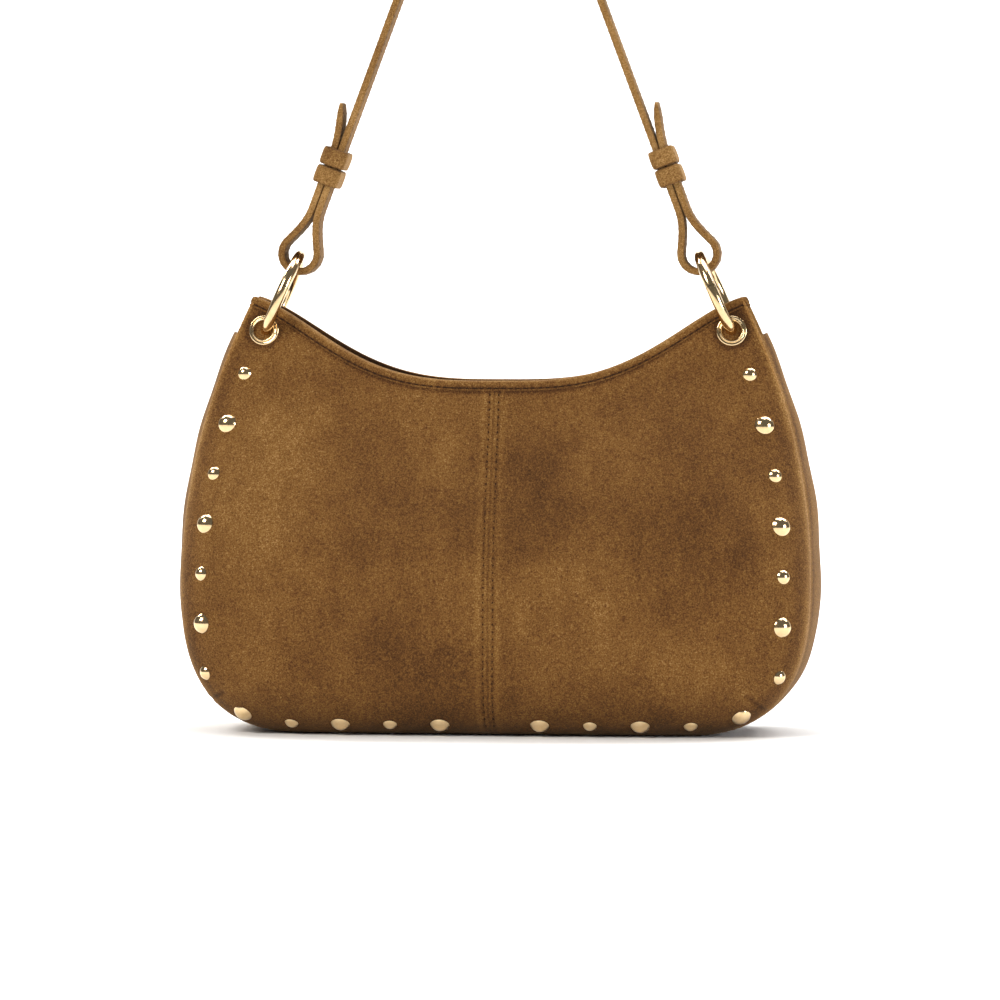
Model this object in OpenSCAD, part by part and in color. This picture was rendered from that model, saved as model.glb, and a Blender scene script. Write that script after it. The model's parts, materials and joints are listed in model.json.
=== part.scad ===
// Soft hobo bag on a strap: two-panel suede front and back, a gusset, a turned and bound mouth,
// four eyelets, two spring-gate rings, a looped strap with keepers, dome studs and an inner zip pocket.
// The frame's origin is the underside of the strap's apex, +Z is up and the front faces -Y.

/* [Bag] */
// Width between the side seams at the widest level
bag_w = 286.4; // [250:0.5:340]
// Width between the side seams at the ear tips
ear_w = 222; // [200:1:250]
// Height of the ear tips over the base
ear_h = 198.2; // [180:0.5:240]
// Dip of the mouth's centre below the ear tips
rim_drop = 39.6; // [18.2:0.1:58.2]
// Level of the widest point, which is also the height of the lower corners
corner_h = 69.3; // [50:0.5:90]
// Width of the flat part of the base
base_w = 170; // [140:1:200]
// Depth of the base between its two seams
base_d = 52; // [40:1:70]
// Depth between the seams at the ear tips
ear_d = 16.4; // [14:0.2:24]
// Crown of a panel over its seams, low on the bag
crown = 25; // [12:0.5:32]
// Crown of a panel over its seams, at the ear tips
ear_crown = 2; // [1:0.25:3]
// Distance over which a panel rolls from its side seam to its face
side_roll = 60; // [40:1:70]
// Distance over which a panel rolls from the base seam to its face
base_roll = 28; // [18:1:40]
// Outward bulge of the gusset
gusset_bulge = 3.5; // [1:0.1:5]
// Distance of the gusset's two ends below the ear tips
gusset_drop = 18.2; // [8.2:1:38.2]
// Thickness of the suede
suede_t = 1.4; // [0.8:0.1:2]
// Thickness of the facing inside the mouth
facing_t = 0.9; // [0.6:0.1:1.4]
// Depth of the facing
facing_h = 26; // [22:1:34]
// Thickness of the lining
lining_t = 0.5; // [0.3:0.1:0.8]
// Thickness of the board in the base
board_t = 0.8; // [0.5:0.1:0.9]

/* [Mouth binding] */
// Thickness of the binding
binding_t = 0.9; // [0.6:0.1:1.4]
// Width of the binding's two legs
binding_h = 4; // [3:0.25:6]

/* [Eyelets] */
// Distance of each eyelet in from the ear tips
eyelet_inset = 4.4; // [3:0.1:9]
// Distance of the eyelets below the ear tips
eyelet_drop = 16.3; // [14.2:0.1:22.2]
// Hole through an eyelet
eyelet_hole_d = 9.2; // [8.8:0.1:10]
// Outer diameter of an eyelet's flange
eyelet_d = 14; // [13:0.2:16]
// Wall of an eyelet's barrel
eyelet_wall = 0.6; // [0.4:0.1:0.8]
// Thickness of an eyelet's washer
eyelet_washer_t = 0.5; // [0.4:0.1:0.8]

/* [Rings] */
// Diameter of a ring, to the middle of its wire
ring_d = 40; // [38:0.5:42]
// Diameter of a ring's wire
ring_wire_d = 5; // [4:0.1:5.4]
// Inward lean of the rings
ring_lean = 24; // [18:0.5:28]
// Turn of the left ring towards the centre
ring_yaw = 4.5; // [0:0.5:6]
// Place of a gate's pin, from the top of its ring
gate_pin_at = 30; // [28:1:34]
// Place of a gate's free end, from the top of its ring
gate_end_at = 80; // [72:1:88]
// Diameter of a gate's pin
gate_pin_d = 1.6; // [1.2:0.1:1.8]
// Thickness of a gate's tongue
gate_tongue_t = 1.94; // [1.5:0.02:2.2]

/* [Strap] */
// Height of the strap's underside over the base, at its apex
strap_h = 388.3; // [340:0.5:470]
// Width of the strap
strap_w = 15; // [12:0.5:18]
// Thickness of the strap
strap_t = 3.3; // [2.6:0.1:4]
// Lean of the strap's two legs
strap_lean = 20.5; // [18:0.5:23]
// Diameter of the strap's loop, to the middle of the leather
loop_d = 16.3; // [15.6:0.1:18]
// Height at which the loop's two strands meet, over its centre
loop_close = 22; // [18:0.5:26]
// Length of the folded-back end, over the loop's centre
tail_l = 71; // [66:1:90]
// Thickness of the tail's pared tip
tip_t = 1.5; // [1:0.1:2.5]
// How far a tail's tip stands away from its leg
tail_open = 4.2; // [0:0.1:6]

/* [Keepers] */
// Wall of a keeper
keeper_t = 2.3; // [1.5:0.1:3]
// Length of a keeper along the strap
keeper_l = 8.2; // [6:0.1:10]
// Space between a fixed keeper and a sliding one
keeper_gap = 0.6; // [0.4:0.1:2]
// Height of the middle of the two keepers, over the loop's centre
keeper_at = 42; // [38:0.2:44]
// Clearance between a keeper and the strap
keeper_clear = 0.35; // [0.2:0.05:0.6]

/* [Studs] */
// Diameter of the large studs
stud_large_d = 8.8; // [6:0.1:10]
// Diameter of the small studs
stud_small_d = 6.4; // [5:0.1:8]
// Height of a stud's dome, as a share of its diameter
stud_rise = 0.26; // [0.2:0.01:0.45]
// Distance of the studs from the side seams
stud_inset = 11.2; // [9:0.1:14]
// Studs up each side, over the lower corner's stud
side_studs = 7; // [5:1:7]
// Studs along each half of the base
base_studs = 5; // [3:1:5]
// Spacing of the studs
stud_pitch = 22.6; // [20:0.1:23]
// Height of the lowest side stud
stud_side_low = 27; // [24:0.5:32]
// Height of the studs along the base
stud_base_h = 4.8; // [4.5:0.1:9]
// Diameter of a stud's post
stud_post_d = 1.4; // [1:0.1:1.8]

/* [Magnetic snap] */
// Diameter of the snap
snap_d = 17; // [12:0.5:20]
// Thickness of each half of the snap
snap_t = 2.4; // [1.5:0.1:3.5]
// Depth of the snap below the mouth
snap_drop = 14; // [12:0.5:16]

/* [Inner pocket] */
// Width of the pocket
pocket_w = 140; // [100:1:150]
// Height of the pocket's lower edge
pocket_low = 62; // [50:1:75]
// Height of the zip
zip_h = 122; // [115:0.5:126]
// Width of the zip's tape
zip_tape_w = 14; // [12:0.5:16]
// Width of the zip's chain of teeth
zip_chain_w = 4.4; // [3:0.1:6]
// Length of the slider
slider_l = 9; // [7:0.5:12]
// Length of the slider's puller
puller_l = 24; // [16:1:32]
// Width of the slider's puller
puller_w = 5; // [4:0.5:7]

/* [Hidden] */

$fn = 48;
SUEDE = "#8a6538";
NAP = "#a27c4b";
LINING = "#6d5334";
GOLD = "#d9b36a";
BOARD = "#4a4038";
LEATHER = "#7a552c";

// Clearances between layers and pieces.
layer_gap = 0.2;
slot_gap = 0.1;
seam_gap = 0.3;
seat_gap = 0.05;
run_gap = 0.25;

// Depths below a panel's outer face at which each layer starts.
facing_at = suede_t + layer_gap;
lining_at = facing_at + facing_t + layer_gap;
pocket_at = lining_at + lining_t + 0.4;

// Grid of a panel, and of the strips round the bag.
PANEL_U = 10;
LOW_V = 12;
HIGH_V = 5;
WIDE_U = 20;
corner_n = 2.6;

// What the ear tips carry: the mouth, the eyelets and the ends of the gusset.
rim_h = ear_h - rim_drop;
eyelet_span = ear_w - 2 * eyelet_inset;
eyelet_h = ear_h - eyelet_drop;
gusset_h = ear_h - gusset_drop;
side_fall = (bag_w - ear_w) / 2 / pow(ear_h - corner_h, 2);
rim_reach = 0.5405 * ear_w;

// Half width between the side seams at height z.
function half_w(z) =
  z >= corner_h
  ? bag_w / 2 - side_fall * pow(z - corner_h, 2)
  : base_w / 2 + (bag_w - base_w) / 2
    * pow(1 - pow((corner_h - max(z, 0)) / corner_h, corner_n), 1 / corner_n);

// Half depth at the seam, and crown of the panel over it.
function seam_y(z) = lookup(z, [
  [0, base_d / 2], [corner_h, base_d / 2 - 4], [gusset_h, ear_d / 2 + 1.3], [ear_h, ear_d / 2]
]);
function crown_y(z) =
  crown - (crown - ear_crown) * smooth(min(max((z - corner_h) / (ear_h - corner_h), 0), 1));

// Quarter-ellipse roll from 0 at a seam to 1 on the panel's face.
function roll(t) = sqrt(1 - pow(1 - min(max(t, 0), 1), 2));
function smooth(t) = t * t * (3 - 2 * t);

// Half depth of the bag at x, z.
function half_d(x, z) = seam_y(z) + crown_y(z) * roll((half_w(z) - abs(x)) / side_roll) * roll(z / base_roll);

// Height of the mouth's edge at x.
function rim_z(x) = rim_h + (ear_h - rim_h) * smooth(min(pow(abs(x) / rim_reach, 1.7), 1));
function rim_z_at(s, z, turns) = turns == 0 ? z : rim_z_at(s, rim_z(s * half_w(z)), turns - 1);

// Slope of the side seam, as the sine and cosine of its angle from the vertical.
function side_slope(z) =
  let (e = 0.2, rise = (half_w(z + e) - half_w(max(z - e, 0))) / (min(z, e) + e))
  [rise, 1] / sqrt(1 + rise * rise);

// Point of the front face, or of a layer at depth d below it: u runs -1 to 1 from seam to seam, z is the
// height. A layer draws in square to the side seam, up from the base seam and back from the face.
function face_point(u, z, d) =
  let (share = sin(90 * u), slope = side_slope(z), edge = pow(share, 4))
  [
    share * (half_w(z) - d * slope.y),
    d - half_d(share * half_w(z), z),
    z + d * ((1 - edge) * (1 - roll(z / base_roll)) + edge * slope.x)
  ];
function face_top(u) = rim_z_at(sin(90 * abs(u)), ear_h, 8);

// Outward normal of the front face at x, z.
function face_normal(x, z) =
  let (e = 0.4)
  let (dx = (half_d(x + e, z) - half_d(x - e, z)) / (2 * e))
  let (dz = (half_d(x, z + e) - half_d(x, z - e)) / (2 * e))
  unit([-dx, -1, -dz]);
function unit(v) = v / norm(v);

// A closed sheet between two grids of points, the first of them on its outside.
module sheet(g, h) {
  nu = len(g) - 1;
  nv = len(g[0]) - 1;
  n = (nu + 1) * (nv + 1);
  outer = [for (row = g) each row];
  inner = [for (row = h) each row];
  function at(i, j) = i * (nv + 1) + j;
  faces = [
    for (i = [0:nu - 1], j = [0:nv - 1]) each [
      [at(i, j), at(i, j + 1), at(i + 1, j + 1)],
      [at(i, j), at(i + 1, j + 1), at(i + 1, j)],
      [n + at(i, j), n + at(i + 1, j + 1), n + at(i, j + 1)],
      [n + at(i, j), n + at(i + 1, j), n + at(i + 1, j + 1)]
    ],
    for (i = [0:nu - 1]) each [
      [at(i, 0), at(i + 1, 0), n + at(i + 1, 0)],
      [at(i, 0), n + at(i + 1, 0), n + at(i, 0)],
      [at(i + 1, nv), at(i, nv), n + at(i, nv)],
      [at(i + 1, nv), n + at(i, nv), n + at(i + 1, nv)]
    ],
    for (j = [0:nv - 1]) each [
      [at(0, j + 1), at(0, j), n + at(0, j)],
      [at(0, j + 1), n + at(0, j), n + at(0, j + 1)],
      [at(nu, j), at(nu, j + 1), n + at(nu, j + 1)],
      [at(nu, j), n + at(nu, j + 1), n + at(nu, j)]
    ]
  ];
  polyhedron(concat(outer, inner), faces, convexity = 8);
}

// The bag hangs under the strap, so its own heights count from the base.
module on_bag() {
  translate([0, 0, -strap_h]) children();
}

module left() {
  mirror([1, 0, 0]) children();
}

module back() {
  mirror([0, 1, 0]) children();
}

// Stands something on the front face at x, z, with its own +Z along the outward normal.
module on_face(x, z) {
  n = face_normal(x, z);
  translate([x, -half_d(x, z), z])
    rotate([0, acos(n.z), atan2(n.y, n.x)]) children();
}

// Panels, facing and lining share one face. Their rows crowd where the panel rolls up from the base, and
// the last row is the strip under the binding.
low_share = 0.7;
function row_height(j, top) =
  let (split = low_share * top, high = top - binding_h)
  j <= LOW_V ? split * (1 - cos(90 * j / LOW_V))
  : j == LOW_V + HIGH_V ? top
  : split + (high - split) * (j - LOW_V) / (HIGH_V - 1);
function face_grid(u0, u1, nu, drop, d) = [
  for (i = [0:nu]) let (u = u0 + (u1 - u0) * i / nu, top = face_top(u) - drop)
    [for (j = [0:LOW_V + HIGH_V]) face_point(u, row_height(j, top), d)]
];
function band_grid(d) = [
  for (i = [0:WIDE_U]) let (u = -1 + 2 * i / WIDE_U, top = face_top(u))
    [for (down = [facing_h, (facing_h + binding_h) / 2, binding_h, 0]) face_point(u, top - down, d)]
];

// Half of the centre seam's gap, as a share of the panel's width.
centre_u = asin(seam_gap / bag_w) / 90;

// Hole of an eyelet, with flat seats for its flange and washer pressed into the suede and the facing.
cut_h = 8;
module eyelet_cut() {
  on_face(eyelet_span / 2, eyelet_h) {
    cylinder(d = eyelet_hole_d + 2 * eyelet_wall + layer_gap, h = 2 * cut_h, center = true);
    cylinder(d = eyelet_d + layer_gap, h = cut_h);
    translate([0, 0, seat_gap - washer_at - cut_h]) cylinder(d = eyelet_d - 1 + layer_gap, h = cut_h);
  }
}

module half_panel() {
  difference() {
    sheet(face_grid(centre_u, 1, PANEL_U, 0, 0), face_grid(centre_u, 1, PANEL_U, 0, suede_t));
    eyelet_cut();
  }
}

module front_panel_right() {
  color(SUEDE) on_bag() half_panel();
}

module front_panel_left() {
  color(SUEDE) on_bag() left() half_panel();
}

module back_panel_right() {
  color(SUEDE) on_bag() back() half_panel();
}

module back_panel_left() {
  color(SUEDE) on_bag() back() left() half_panel();
}

// Outline of the gusset, from the left top round the base to the right top; corner_side is its right half.
function corner_side() = [
  for (k = [0:9]) let (z = gusset_h + (corner_h - gusset_h) * k / 10) [half_w(z), z],
  for (k = [0:9]) let (z = corner_h * (1 - pow(sin(10 * k), 2 / corner_n))) [half_w(z), z],
  [base_w / 2, 0],
  [base_w / 4, 0]
];
function outline() = concat(
  [for (p = corner_side()) [-p.x, p.y]],
  [[0, 0]],
  [for (k = [len(corner_side()) - 1:-1:0]) corner_side()[k]]
);
function bulge_at(z) = gusset_bulge * lookup(z, [[0, 0], [corner_h * 0.7, 0.85], [corner_h * 1.6, 1], [gusset_h, 0.75]]);
GUSSET_V = 8;
function gusset_grid(depth) =
  let (line = outline(), last = len(line) - 1)
  [
    for (i = [0:last])
      let (d = line[min(i + 1, last)] - line[max(i - 1, 0)], n = [d.y, -d.x] / norm(d))
      let (half = seam_y(line[i].y) - seam_gap - depth)
      [
        for (j = [0:GUSSET_V])
          let (t = 1 - 2 * j / GUSSET_V, out = bulge_at(line[i].y) * (1 - t * t) - depth)
          [line[i].x + n.x * out, t * half, line[i].y + n.y * out]
      ]
  ];

module gusset() {
  color(NAP) on_bag() sheet(gusset_grid(0), gusset_grid(suede_t));
}

module gusset_lining() {
  color(LINING) on_bag() sheet(gusset_grid(lining_at), gusset_grid(lining_at + lining_t));
}

// The lining's upper edge laps the facing.
lap = 3;
module face_lining() {
  drop = facing_h - lap;
  sheet(
    face_grid(-1, 1, WIDE_U, drop, lining_at),
    face_grid(-1, 1, WIDE_U, drop, lining_at + lining_t)
  );
}

module front_lining() {
  color(LINING) on_bag() face_lining();
}

module back_lining() {
  color(LINING) on_bag() back() face_lining();
}

module facing() {
  difference() {
    sheet(band_grid(facing_at), band_grid(facing_at + facing_t));
    eyelet_cut();
    left() eyelet_cut();
  }
}

module front_facing() {
  color(LEATHER) on_bag() facing();
}

module back_facing() {
  color(LEATHER) on_bag() back() facing();
}

// The binding is a channel along the mouth, on the panel's own columns; each corner is a depth below the
// face and a drop below the edge.
function binding_profile() =
  let (out = -binding_t - layer_gap, in = facing_at + facing_t + layer_gap)
  [
    [out, binding_h], [out, out], [in + binding_t, out], [in + binding_t, binding_h],
    [in, binding_h], [in, -layer_gap], [-layer_gap, -layer_gap], [-layer_gap, binding_h]
  ];
module binding() {
  corners = binding_profile();
  m = len(corners);
  points = [
    for (i = [0:WIDE_U]) let (u = -1 + 2 * i / WIDE_U, top = face_top(u))
      for (c = corners) face_point(u, top - c.y, c.x)
  ];
  last = WIDE_U * m;
  faces = [
    for (i = [0:WIDE_U - 1], k = [0:m - 1]) let (a = i * m + k, b = i * m + (k + 1) % m) each [
      [a, b + m, a + m],
      [a, b, b + m]
    ],
    for (q = [[0, 1, 6, 7], [1, 2, 5, 6], [2, 3, 4, 5]]) each [
      [q[2], q[1], q[0]],
      [q[3], q[2], q[0]],
      [last + q[0], last + q[1], last + q[2]],
      [last + q[0], last + q[2], last + q[3]]
    ]
  ];
  polyhedron(points, faces, convexity = 8);
}

module front_binding() {
  color(SUEDE) on_bag() binding();
}

module back_binding() {
  color(SUEDE) on_bag() back() binding();
}

module base_board() {
  board_w = base_w - 10;
  board_d = base_d - 10;
  color(BOARD) on_bag() translate([-board_w / 2, -board_d / 2, facing_at]) cube([board_w, board_d, board_t]);
}

// An eyelet stands on the face: a rolled flange outside, a barrel, and a lip clinched over the washer.
washer_at = facing_at + facing_t + layer_gap;
module eyelet() {
  hole = eyelet_hole_d / 2;
  barrel = hole + eyelet_wall;
  lip_z = -washer_at - eyelet_washer_t - seat_gap;
  edge = eyelet_d / 2;
  on_face(eyelet_span / 2, eyelet_h) rotate_extrude($fn = 64)
    polygon([
      [hole, lip_z - eyelet_wall], [barrel + 1, lip_z - eyelet_wall], [barrel + 1, lip_z], [barrel, lip_z],
      [barrel, seat_gap], [edge, seat_gap], [edge, 0.5], [edge - 0.5, 0.9], [barrel + 0.7, 1],
      [barrel + 0.5, 1.3], [hole + 0.3, 1.3], [hole, 0.9]
    ]);
}

module eyelet_front_right() {
  color(GOLD) on_bag() eyelet();
}

module eyelet_front_left() {
  color(GOLD) on_bag() left() eyelet();
}

module eyelet_back_right() {
  color(GOLD) on_bag() back() eyelet();
}

module eyelet_back_left() {
  color(GOLD) on_bag() back() left() eyelet();
}

module eyelet_washer() {
  on_face(eyelet_span / 2, eyelet_h)
    translate([0, 0, -washer_at - eyelet_washer_t])
      difference() {
        cylinder(d = eyelet_d - 1, h = eyelet_washer_t);
        translate([0, 0, -1]) cylinder(d = eyelet_hole_d + 2 * eyelet_wall + slot_gap, h = eyelet_washer_t + 2);
      }
}

module eyelet_washers() {
  color(GOLD) on_bag() {
    eyelet_washer();
    left() eyelet_washer();
    back() eyelet_washer();
    back() left() eyelet_washer();
  }
}

// The studs follow the seam, up the sides and along the base, large and small in turn. Round the lower
// corners, where the panel rolls two ways at once, they come nearer to the seam.
function corner_share(z) = lookup(z / corner_h, [[0.35, 0.5], [0.7, 0.95], [0.9, 1]]);
function side_stud(k) = let (z = stud_side_low + stud_pitch * k) [half_w(z) - stud_inset * corner_share(z), z];
function seam_z(x) =
  corner_h * (1 - pow(1 - pow(max(x - base_w / 2, 0) / (bag_w - base_w) * 2, corner_n), 1 / corner_n));
function base_stud(k) = [stud_pitch * k, stud_base_h + seam_z(stud_pitch * k)];
function large_places() = [
  for (k = [1:2:side_studs - 1]) side_stud(k),
  for (k = [1:2:base_studs]) base_stud(k)
];
function small_places() = [
  for (k = [0:2:side_studs - 1]) side_stud(k),
  for (k = [2:2:base_studs]) base_stud(k)
];

// Depth of the suede's inner side under the face at x, z, measured along the normal.
function suede_depth(x, z) =
  let (n = face_normal(x, z))
  suede_t * (abs(n.x) + abs(n.y) + abs(n.z) * (1 - roll(z / base_roll)));

cap_t = 0.45;
cap_d = 4.4;
module stud(d, depth) {
  rise = d * stud_rise;
  ball = (d * d / 4 + rise * rise) / (2 * rise);
  intersection() {
    translate([0, 0, rise - ball + seat_gap]) sphere(r = ball);
    translate([0, 0, seat_gap]) cylinder(d = d + 1, h = d);
  }
  translate([0, 0, -depth - cap_t]) cylinder(d = stud_post_d, h = depth + cap_t + rise / 2);
}

module studs(places, d) {
  for (p = places, side = [1, -1])
    on_face(side * p.x, p.y) stud(d, suede_depth(p.x, p.y));
}

module studs_large() {
  color(GOLD) on_bag() studs(large_places(), stud_large_d);
}

module studs_small() {
  color(GOLD) on_bag() studs(small_places(), stud_small_d);
}

module stud_cap() {
  difference() {
    cylinder(d = cap_d, h = cap_t);
    translate([0, 0, -1]) cylinder(d = stud_post_d + slot_gap, h = cap_t + 2);
  }
}

module stud_caps() {
  color(GOLD) on_bag()
    for (p = concat(large_places(), small_places()), side = [1, -1])
      on_face(side * p.x, p.y)
        translate([0, 0, -suede_depth(p.x, p.y) - cap_t - slot_gap]) stud_cap();
}

// Magnetic snap, one half on each facing.
snap_z = rim_h - snap_drop;
module snap_base(rise) {
  on_face(0, snap_z)
    translate([0, 0, -facing_at - facing_t - rise - layer_gap])
      children();
}

module snap_socket() {
  color(GOLD) on_bag() snap_base(snap_t)
    difference() {
      cylinder(d = snap_d, h = snap_t);
      translate([0, 0, -1]) cylinder(d = snap_d * 0.4, h = snap_t / 2 + 1);
    }
}

module snap_post() {
  color(GOLD) on_bag() back() snap_base(snap_t) {
    cylinder(d = snap_d, h = snap_t);
    translate([0, 0, -snap_t / 3]) cylinder(d = snap_d * 0.36, h = snap_t);
  }
}

// Inside of the back wall over the flat middle of the bag, where it does not change with x.
function wall_y(z) = half_d(0, z);
function wall_tilt(z) = atan((wall_y(z + 1) - wall_y(z - 1)) / 2);
function wall_offset(z, depth) =
  let (a = wall_tilt(z))
  [wall_y(z) - depth * cos(a), z - depth * -sin(a)];
module wall_strip(low, high, near, far, width) {
  steps = 8;
  heights = [for (k = [0:steps]) low + (high - low) * k / steps];
  rotate([90, 0, 90])
    linear_extrude(width, center = true)
      polygon(concat(
        [for (z = heights) wall_offset(z, near)],
        [for (k = [steps:-1:0]) wall_offset(heights[k], far)]
      ));
}

// Stands something on the back wall's inside at height z and a depth, with its own +Z into the bag.
module on_wall(x, z, depth) {
  p = wall_offset(z, depth);
  translate([x, p.x, p.y]) rotate([90 - wall_tilt(z), 0, 0]) children();
}

patch_t = 0.6;
tape_t = 0.4;
zip_low = zip_h - zip_tape_w / 2;
module pocket_patch() {
  color(LINING) on_bag()
    wall_strip(pocket_low, zip_low - seam_gap, pocket_at, pocket_at + patch_t, pocket_w);
}

module pocket_zip_tape() {
  color(BOARD) on_bag() wall_strip(zip_low, zip_low + zip_tape_w, pocket_at, pocket_at + tape_t, pocket_w);
}

teeth_t = 1.5;
teeth_at = pocket_at + tape_t + 0.2;
tooth_pitch = 3;
tooth_n = floor((pocket_w - 8) / tooth_pitch);
module pocket_zip_teeth() {
  color(GOLD) on_bag() on_wall(0, zip_h, teeth_at) {
    for (k = [0:tooth_n - 1])
      translate([(k - (tooth_n - 1) / 2) * tooth_pitch - tooth_pitch * 0.3, -zip_chain_w / 2, 0])
        cube([tooth_pitch * 0.6, zip_chain_w, teeth_t]);
    translate([-tooth_n * tooth_pitch / 2, -0.5, 0.2]) cube([tooth_n * tooth_pitch, 1, teeth_t - 0.4]);
  }
}

// The slider starts at the zip's left end, which is its closed end.
slider_x = -(pocket_w - 8) / 2 + slider_l / 2 + 2;
slider_wall = 1;
slider_z = teeth_t + run_gap;
bail_rise = 2.4;
bail_wire = 1.2;
module slider_frame() {
  on_wall(slider_x, zip_h, teeth_at) children();
}

module pocket_slider() {
  inner = zip_chain_w + 2 * run_gap;
  outer = inner + 2 * slider_wall;
  color(GOLD) on_bag() slider_frame() {
    difference() {
      translate([-slider_l / 2, -outer / 2, run_gap]) cube([slider_l, outer, slider_z + slider_wall - run_gap]);
      translate([-slider_l, -inner / 2, -1]) cube([2 * slider_l, inner, slider_z + 1]);
    }
    difference() {
      translate([-slider_l / 2 + 1, -1, slider_z + slider_wall / 2])
        cube([slider_l - 2, 2, bail_rise + slider_wall / 2 + bail_wire]);
      translate([-slider_l / 2 + 1 + bail_wire, -2, slider_z + slider_wall])
        cube([slider_l - 2 - 2 * bail_wire, 4, bail_rise]);
    }
  }
}

// The puller hangs straight down from the slider's bail. Its head turns inside the bail.
puller_t = 1.2;
head_half = 2.2;
head_top = 1.9;
head_drop = 3.2;
eye_d = 2.1 + bail_wire;
function bail_point() =
  let (p = wall_offset(zip_h, teeth_at + slider_z + slider_wall + bail_rise + bail_wire / 2))
  [slider_x, p.x, p.y];
module pocket_puller() {
  eye = slider_l - 2 - 2 * bail_wire - 2 * run_gap;
  color(GOLD) on_bag() translate(bail_point()) {
    difference() {
      translate([-eye / 2, -head_half, -head_drop]) cube([eye, 2 * head_half, head_drop + head_top]);
      rotate([0, 90, 0]) cylinder(d = eye_d, h = 2 * eye, center = true);
    }
    translate([-puller_w / 2, -puller_t / 2, -puller_l]) cube([puller_w, puller_t, puller_l - head_drop + slot_gap]);
  }
}

// Right ring: its wire's middle passes through both right eyelets and leans in at the top.
ring_r = ring_d / 2;
wire_r = ring_wire_d / 2;
eyelet_mid_y = half_d(eyelet_span / 2, eyelet_h) - (facing_at + facing_t) / 2;
ring_below = sqrt(ring_r * ring_r - eyelet_mid_y * eyelet_mid_y);
ring_x = eyelet_span / 2 - ring_below * sin(ring_lean);
ring_z = eyelet_h + ring_below * cos(ring_lean);
module ring_frame(yaw) {
  translate([ring_x, 0, ring_z]) rotate([0, 0, -yaw]) rotate([0, -90 - ring_lean, 0]) rotate([180, 0, 0]) children();
}

module wire_arc(from, to) {
  rotate([0, 0, from]) rotate_extrude(angle = to - from, $fn = 96)
    translate([ring_r, 0]) circle(d = ring_wire_d, $fn = 32);
}

// A straight cylinder about a gate's pin.
module at_pin(d, low, high) {
  rotate([0, 0, gate_pin_at]) translate([ring_r, 0, low]) cylinder(d = d, h = high - low);
}

// A slab across the wire by the pin, between two distances along the wire.
module pin_slab(from, to, low, high) {
  rotate([0, 0, gate_pin_at])
    translate([ring_r - ring_wire_d, from, low]) cube([2 * ring_wire_d, to - from, high - low]);
}

// The gate's tongue lies in a slot between the body's two cheeks; its free end is a cylinder about the
// pin, so that it slides clear of the body as the gate opens inwards.
gate_reach = 2 * ring_r * sin((gate_end_at - gate_pin_at) / 2);
cheek_reach = 0.42 * ring_wire_d;
tongue_back = 0.38 * ring_wire_d;
slot_back = 0.74 * ring_wire_d;
shoulder_at = 0.68 * ring_wire_d;
function along_wire(l) = l / ring_r * 180 / PI;
module ring_body() {
  difference() {
    union() {
      wire_arc(gate_end_at + 20, gate_pin_at + 360 + along_wire(cheek_reach));
      difference() {
        wire_arc(gate_end_at - 20, gate_end_at + 20);
        at_pin(2 * (gate_reach + run_gap), -ring_wire_d, ring_wire_d);
      }
    }
    pin_slab(-slot_back, ring_wire_d, -gate_tongue_t / 2 - slot_gap, gate_tongue_t / 2 + slot_gap);
    at_pin(gate_pin_d, -ring_wire_d, ring_wire_d);
  }
}

module ring_gate() {
  difference() {
    intersection() {
      wire_arc(gate_pin_at - along_wire(tongue_back), gate_end_at + 10);
      at_pin(2 * gate_reach, -ring_wire_d, ring_wire_d);
    }
    pin_slab(-ring_wire_d, shoulder_at, gate_tongue_t / 2, ring_wire_d);
    pin_slab(-ring_wire_d, shoulder_at, -ring_wire_d, -gate_tongue_t / 2);
    at_pin(gate_pin_d + slot_gap, -ring_wire_d, ring_wire_d);
  }
}

module ring_pin() {
  pin_l = 0.92 * ring_wire_d;
  at_pin(gate_pin_d, -pin_l / 2, pin_l / 2);
}

module ring_right_body() {
  color(GOLD) on_bag() ring_frame(0) ring_body();
}

module ring_left_body() {
  color(GOLD) on_bag() left() ring_frame(ring_yaw) ring_body();
}

module ring_right_gate() {
  color(GOLD) on_bag() ring_frame(0) ring_gate();
}

module ring_left_gate() {
  color(GOLD) on_bag() left() ring_frame(ring_yaw) ring_gate();
}

module ring_right_pin() {
  color(GOLD) on_bag() ring_frame(0) ring_pin();
}

module ring_left_pin() {
  color(GOLD) on_bag() left() ring_frame(ring_yaw) ring_pin();
}

// The strap is a flat band, drawn by its middle line in x and z. A leg's own frame has its origin
// at the loop's centre: [out, up] is measured square to and along the leaning leg.
loop_r = loop_d / 2;
wire_seat = 3.3;
strand = (strap_t + slot_gap) / 2;
leg_up = [-sin(strap_lean), cos(strap_lean)];
leg_out = [cos(strap_lean), sin(strap_lean)];
ring_top = [ring_x - ring_r * sin(ring_lean), ring_z + ring_r * cos(ring_lean)];
loop_centre = ring_top + leg_up * (loop_r - strap_t / 2 - wire_r - wire_seat);
function leg(p) = loop_centre + leg_out * p.x + leg_up * p.y;

function bezier(a, b, c, d, n) = [
  for (k = [0:n]) let (t = k / n, s = 1 - t) s * s * s * a + 3 * s * s * t * b + 3 * s * t * t * c + t * t * t * d
];
loop_leave = 25;
function loop_side(sign) =
  let (foot = loop_r * [cos(loop_leave), sin(loop_leave)], pull = 7 * [-sin(loop_leave), cos(loop_leave)])
  [
    for (p = bezier([strand, loop_close], [strand, loop_close - 7], foot + pull, foot, 8)) [sign * p.x, p.y]
  ];
function loop_round() = [
  for (k = [1:19]) let (a = loop_leave - k * (180 + 2 * loop_leave) / 20) loop_r * [cos(a), sin(a)]
];

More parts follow.
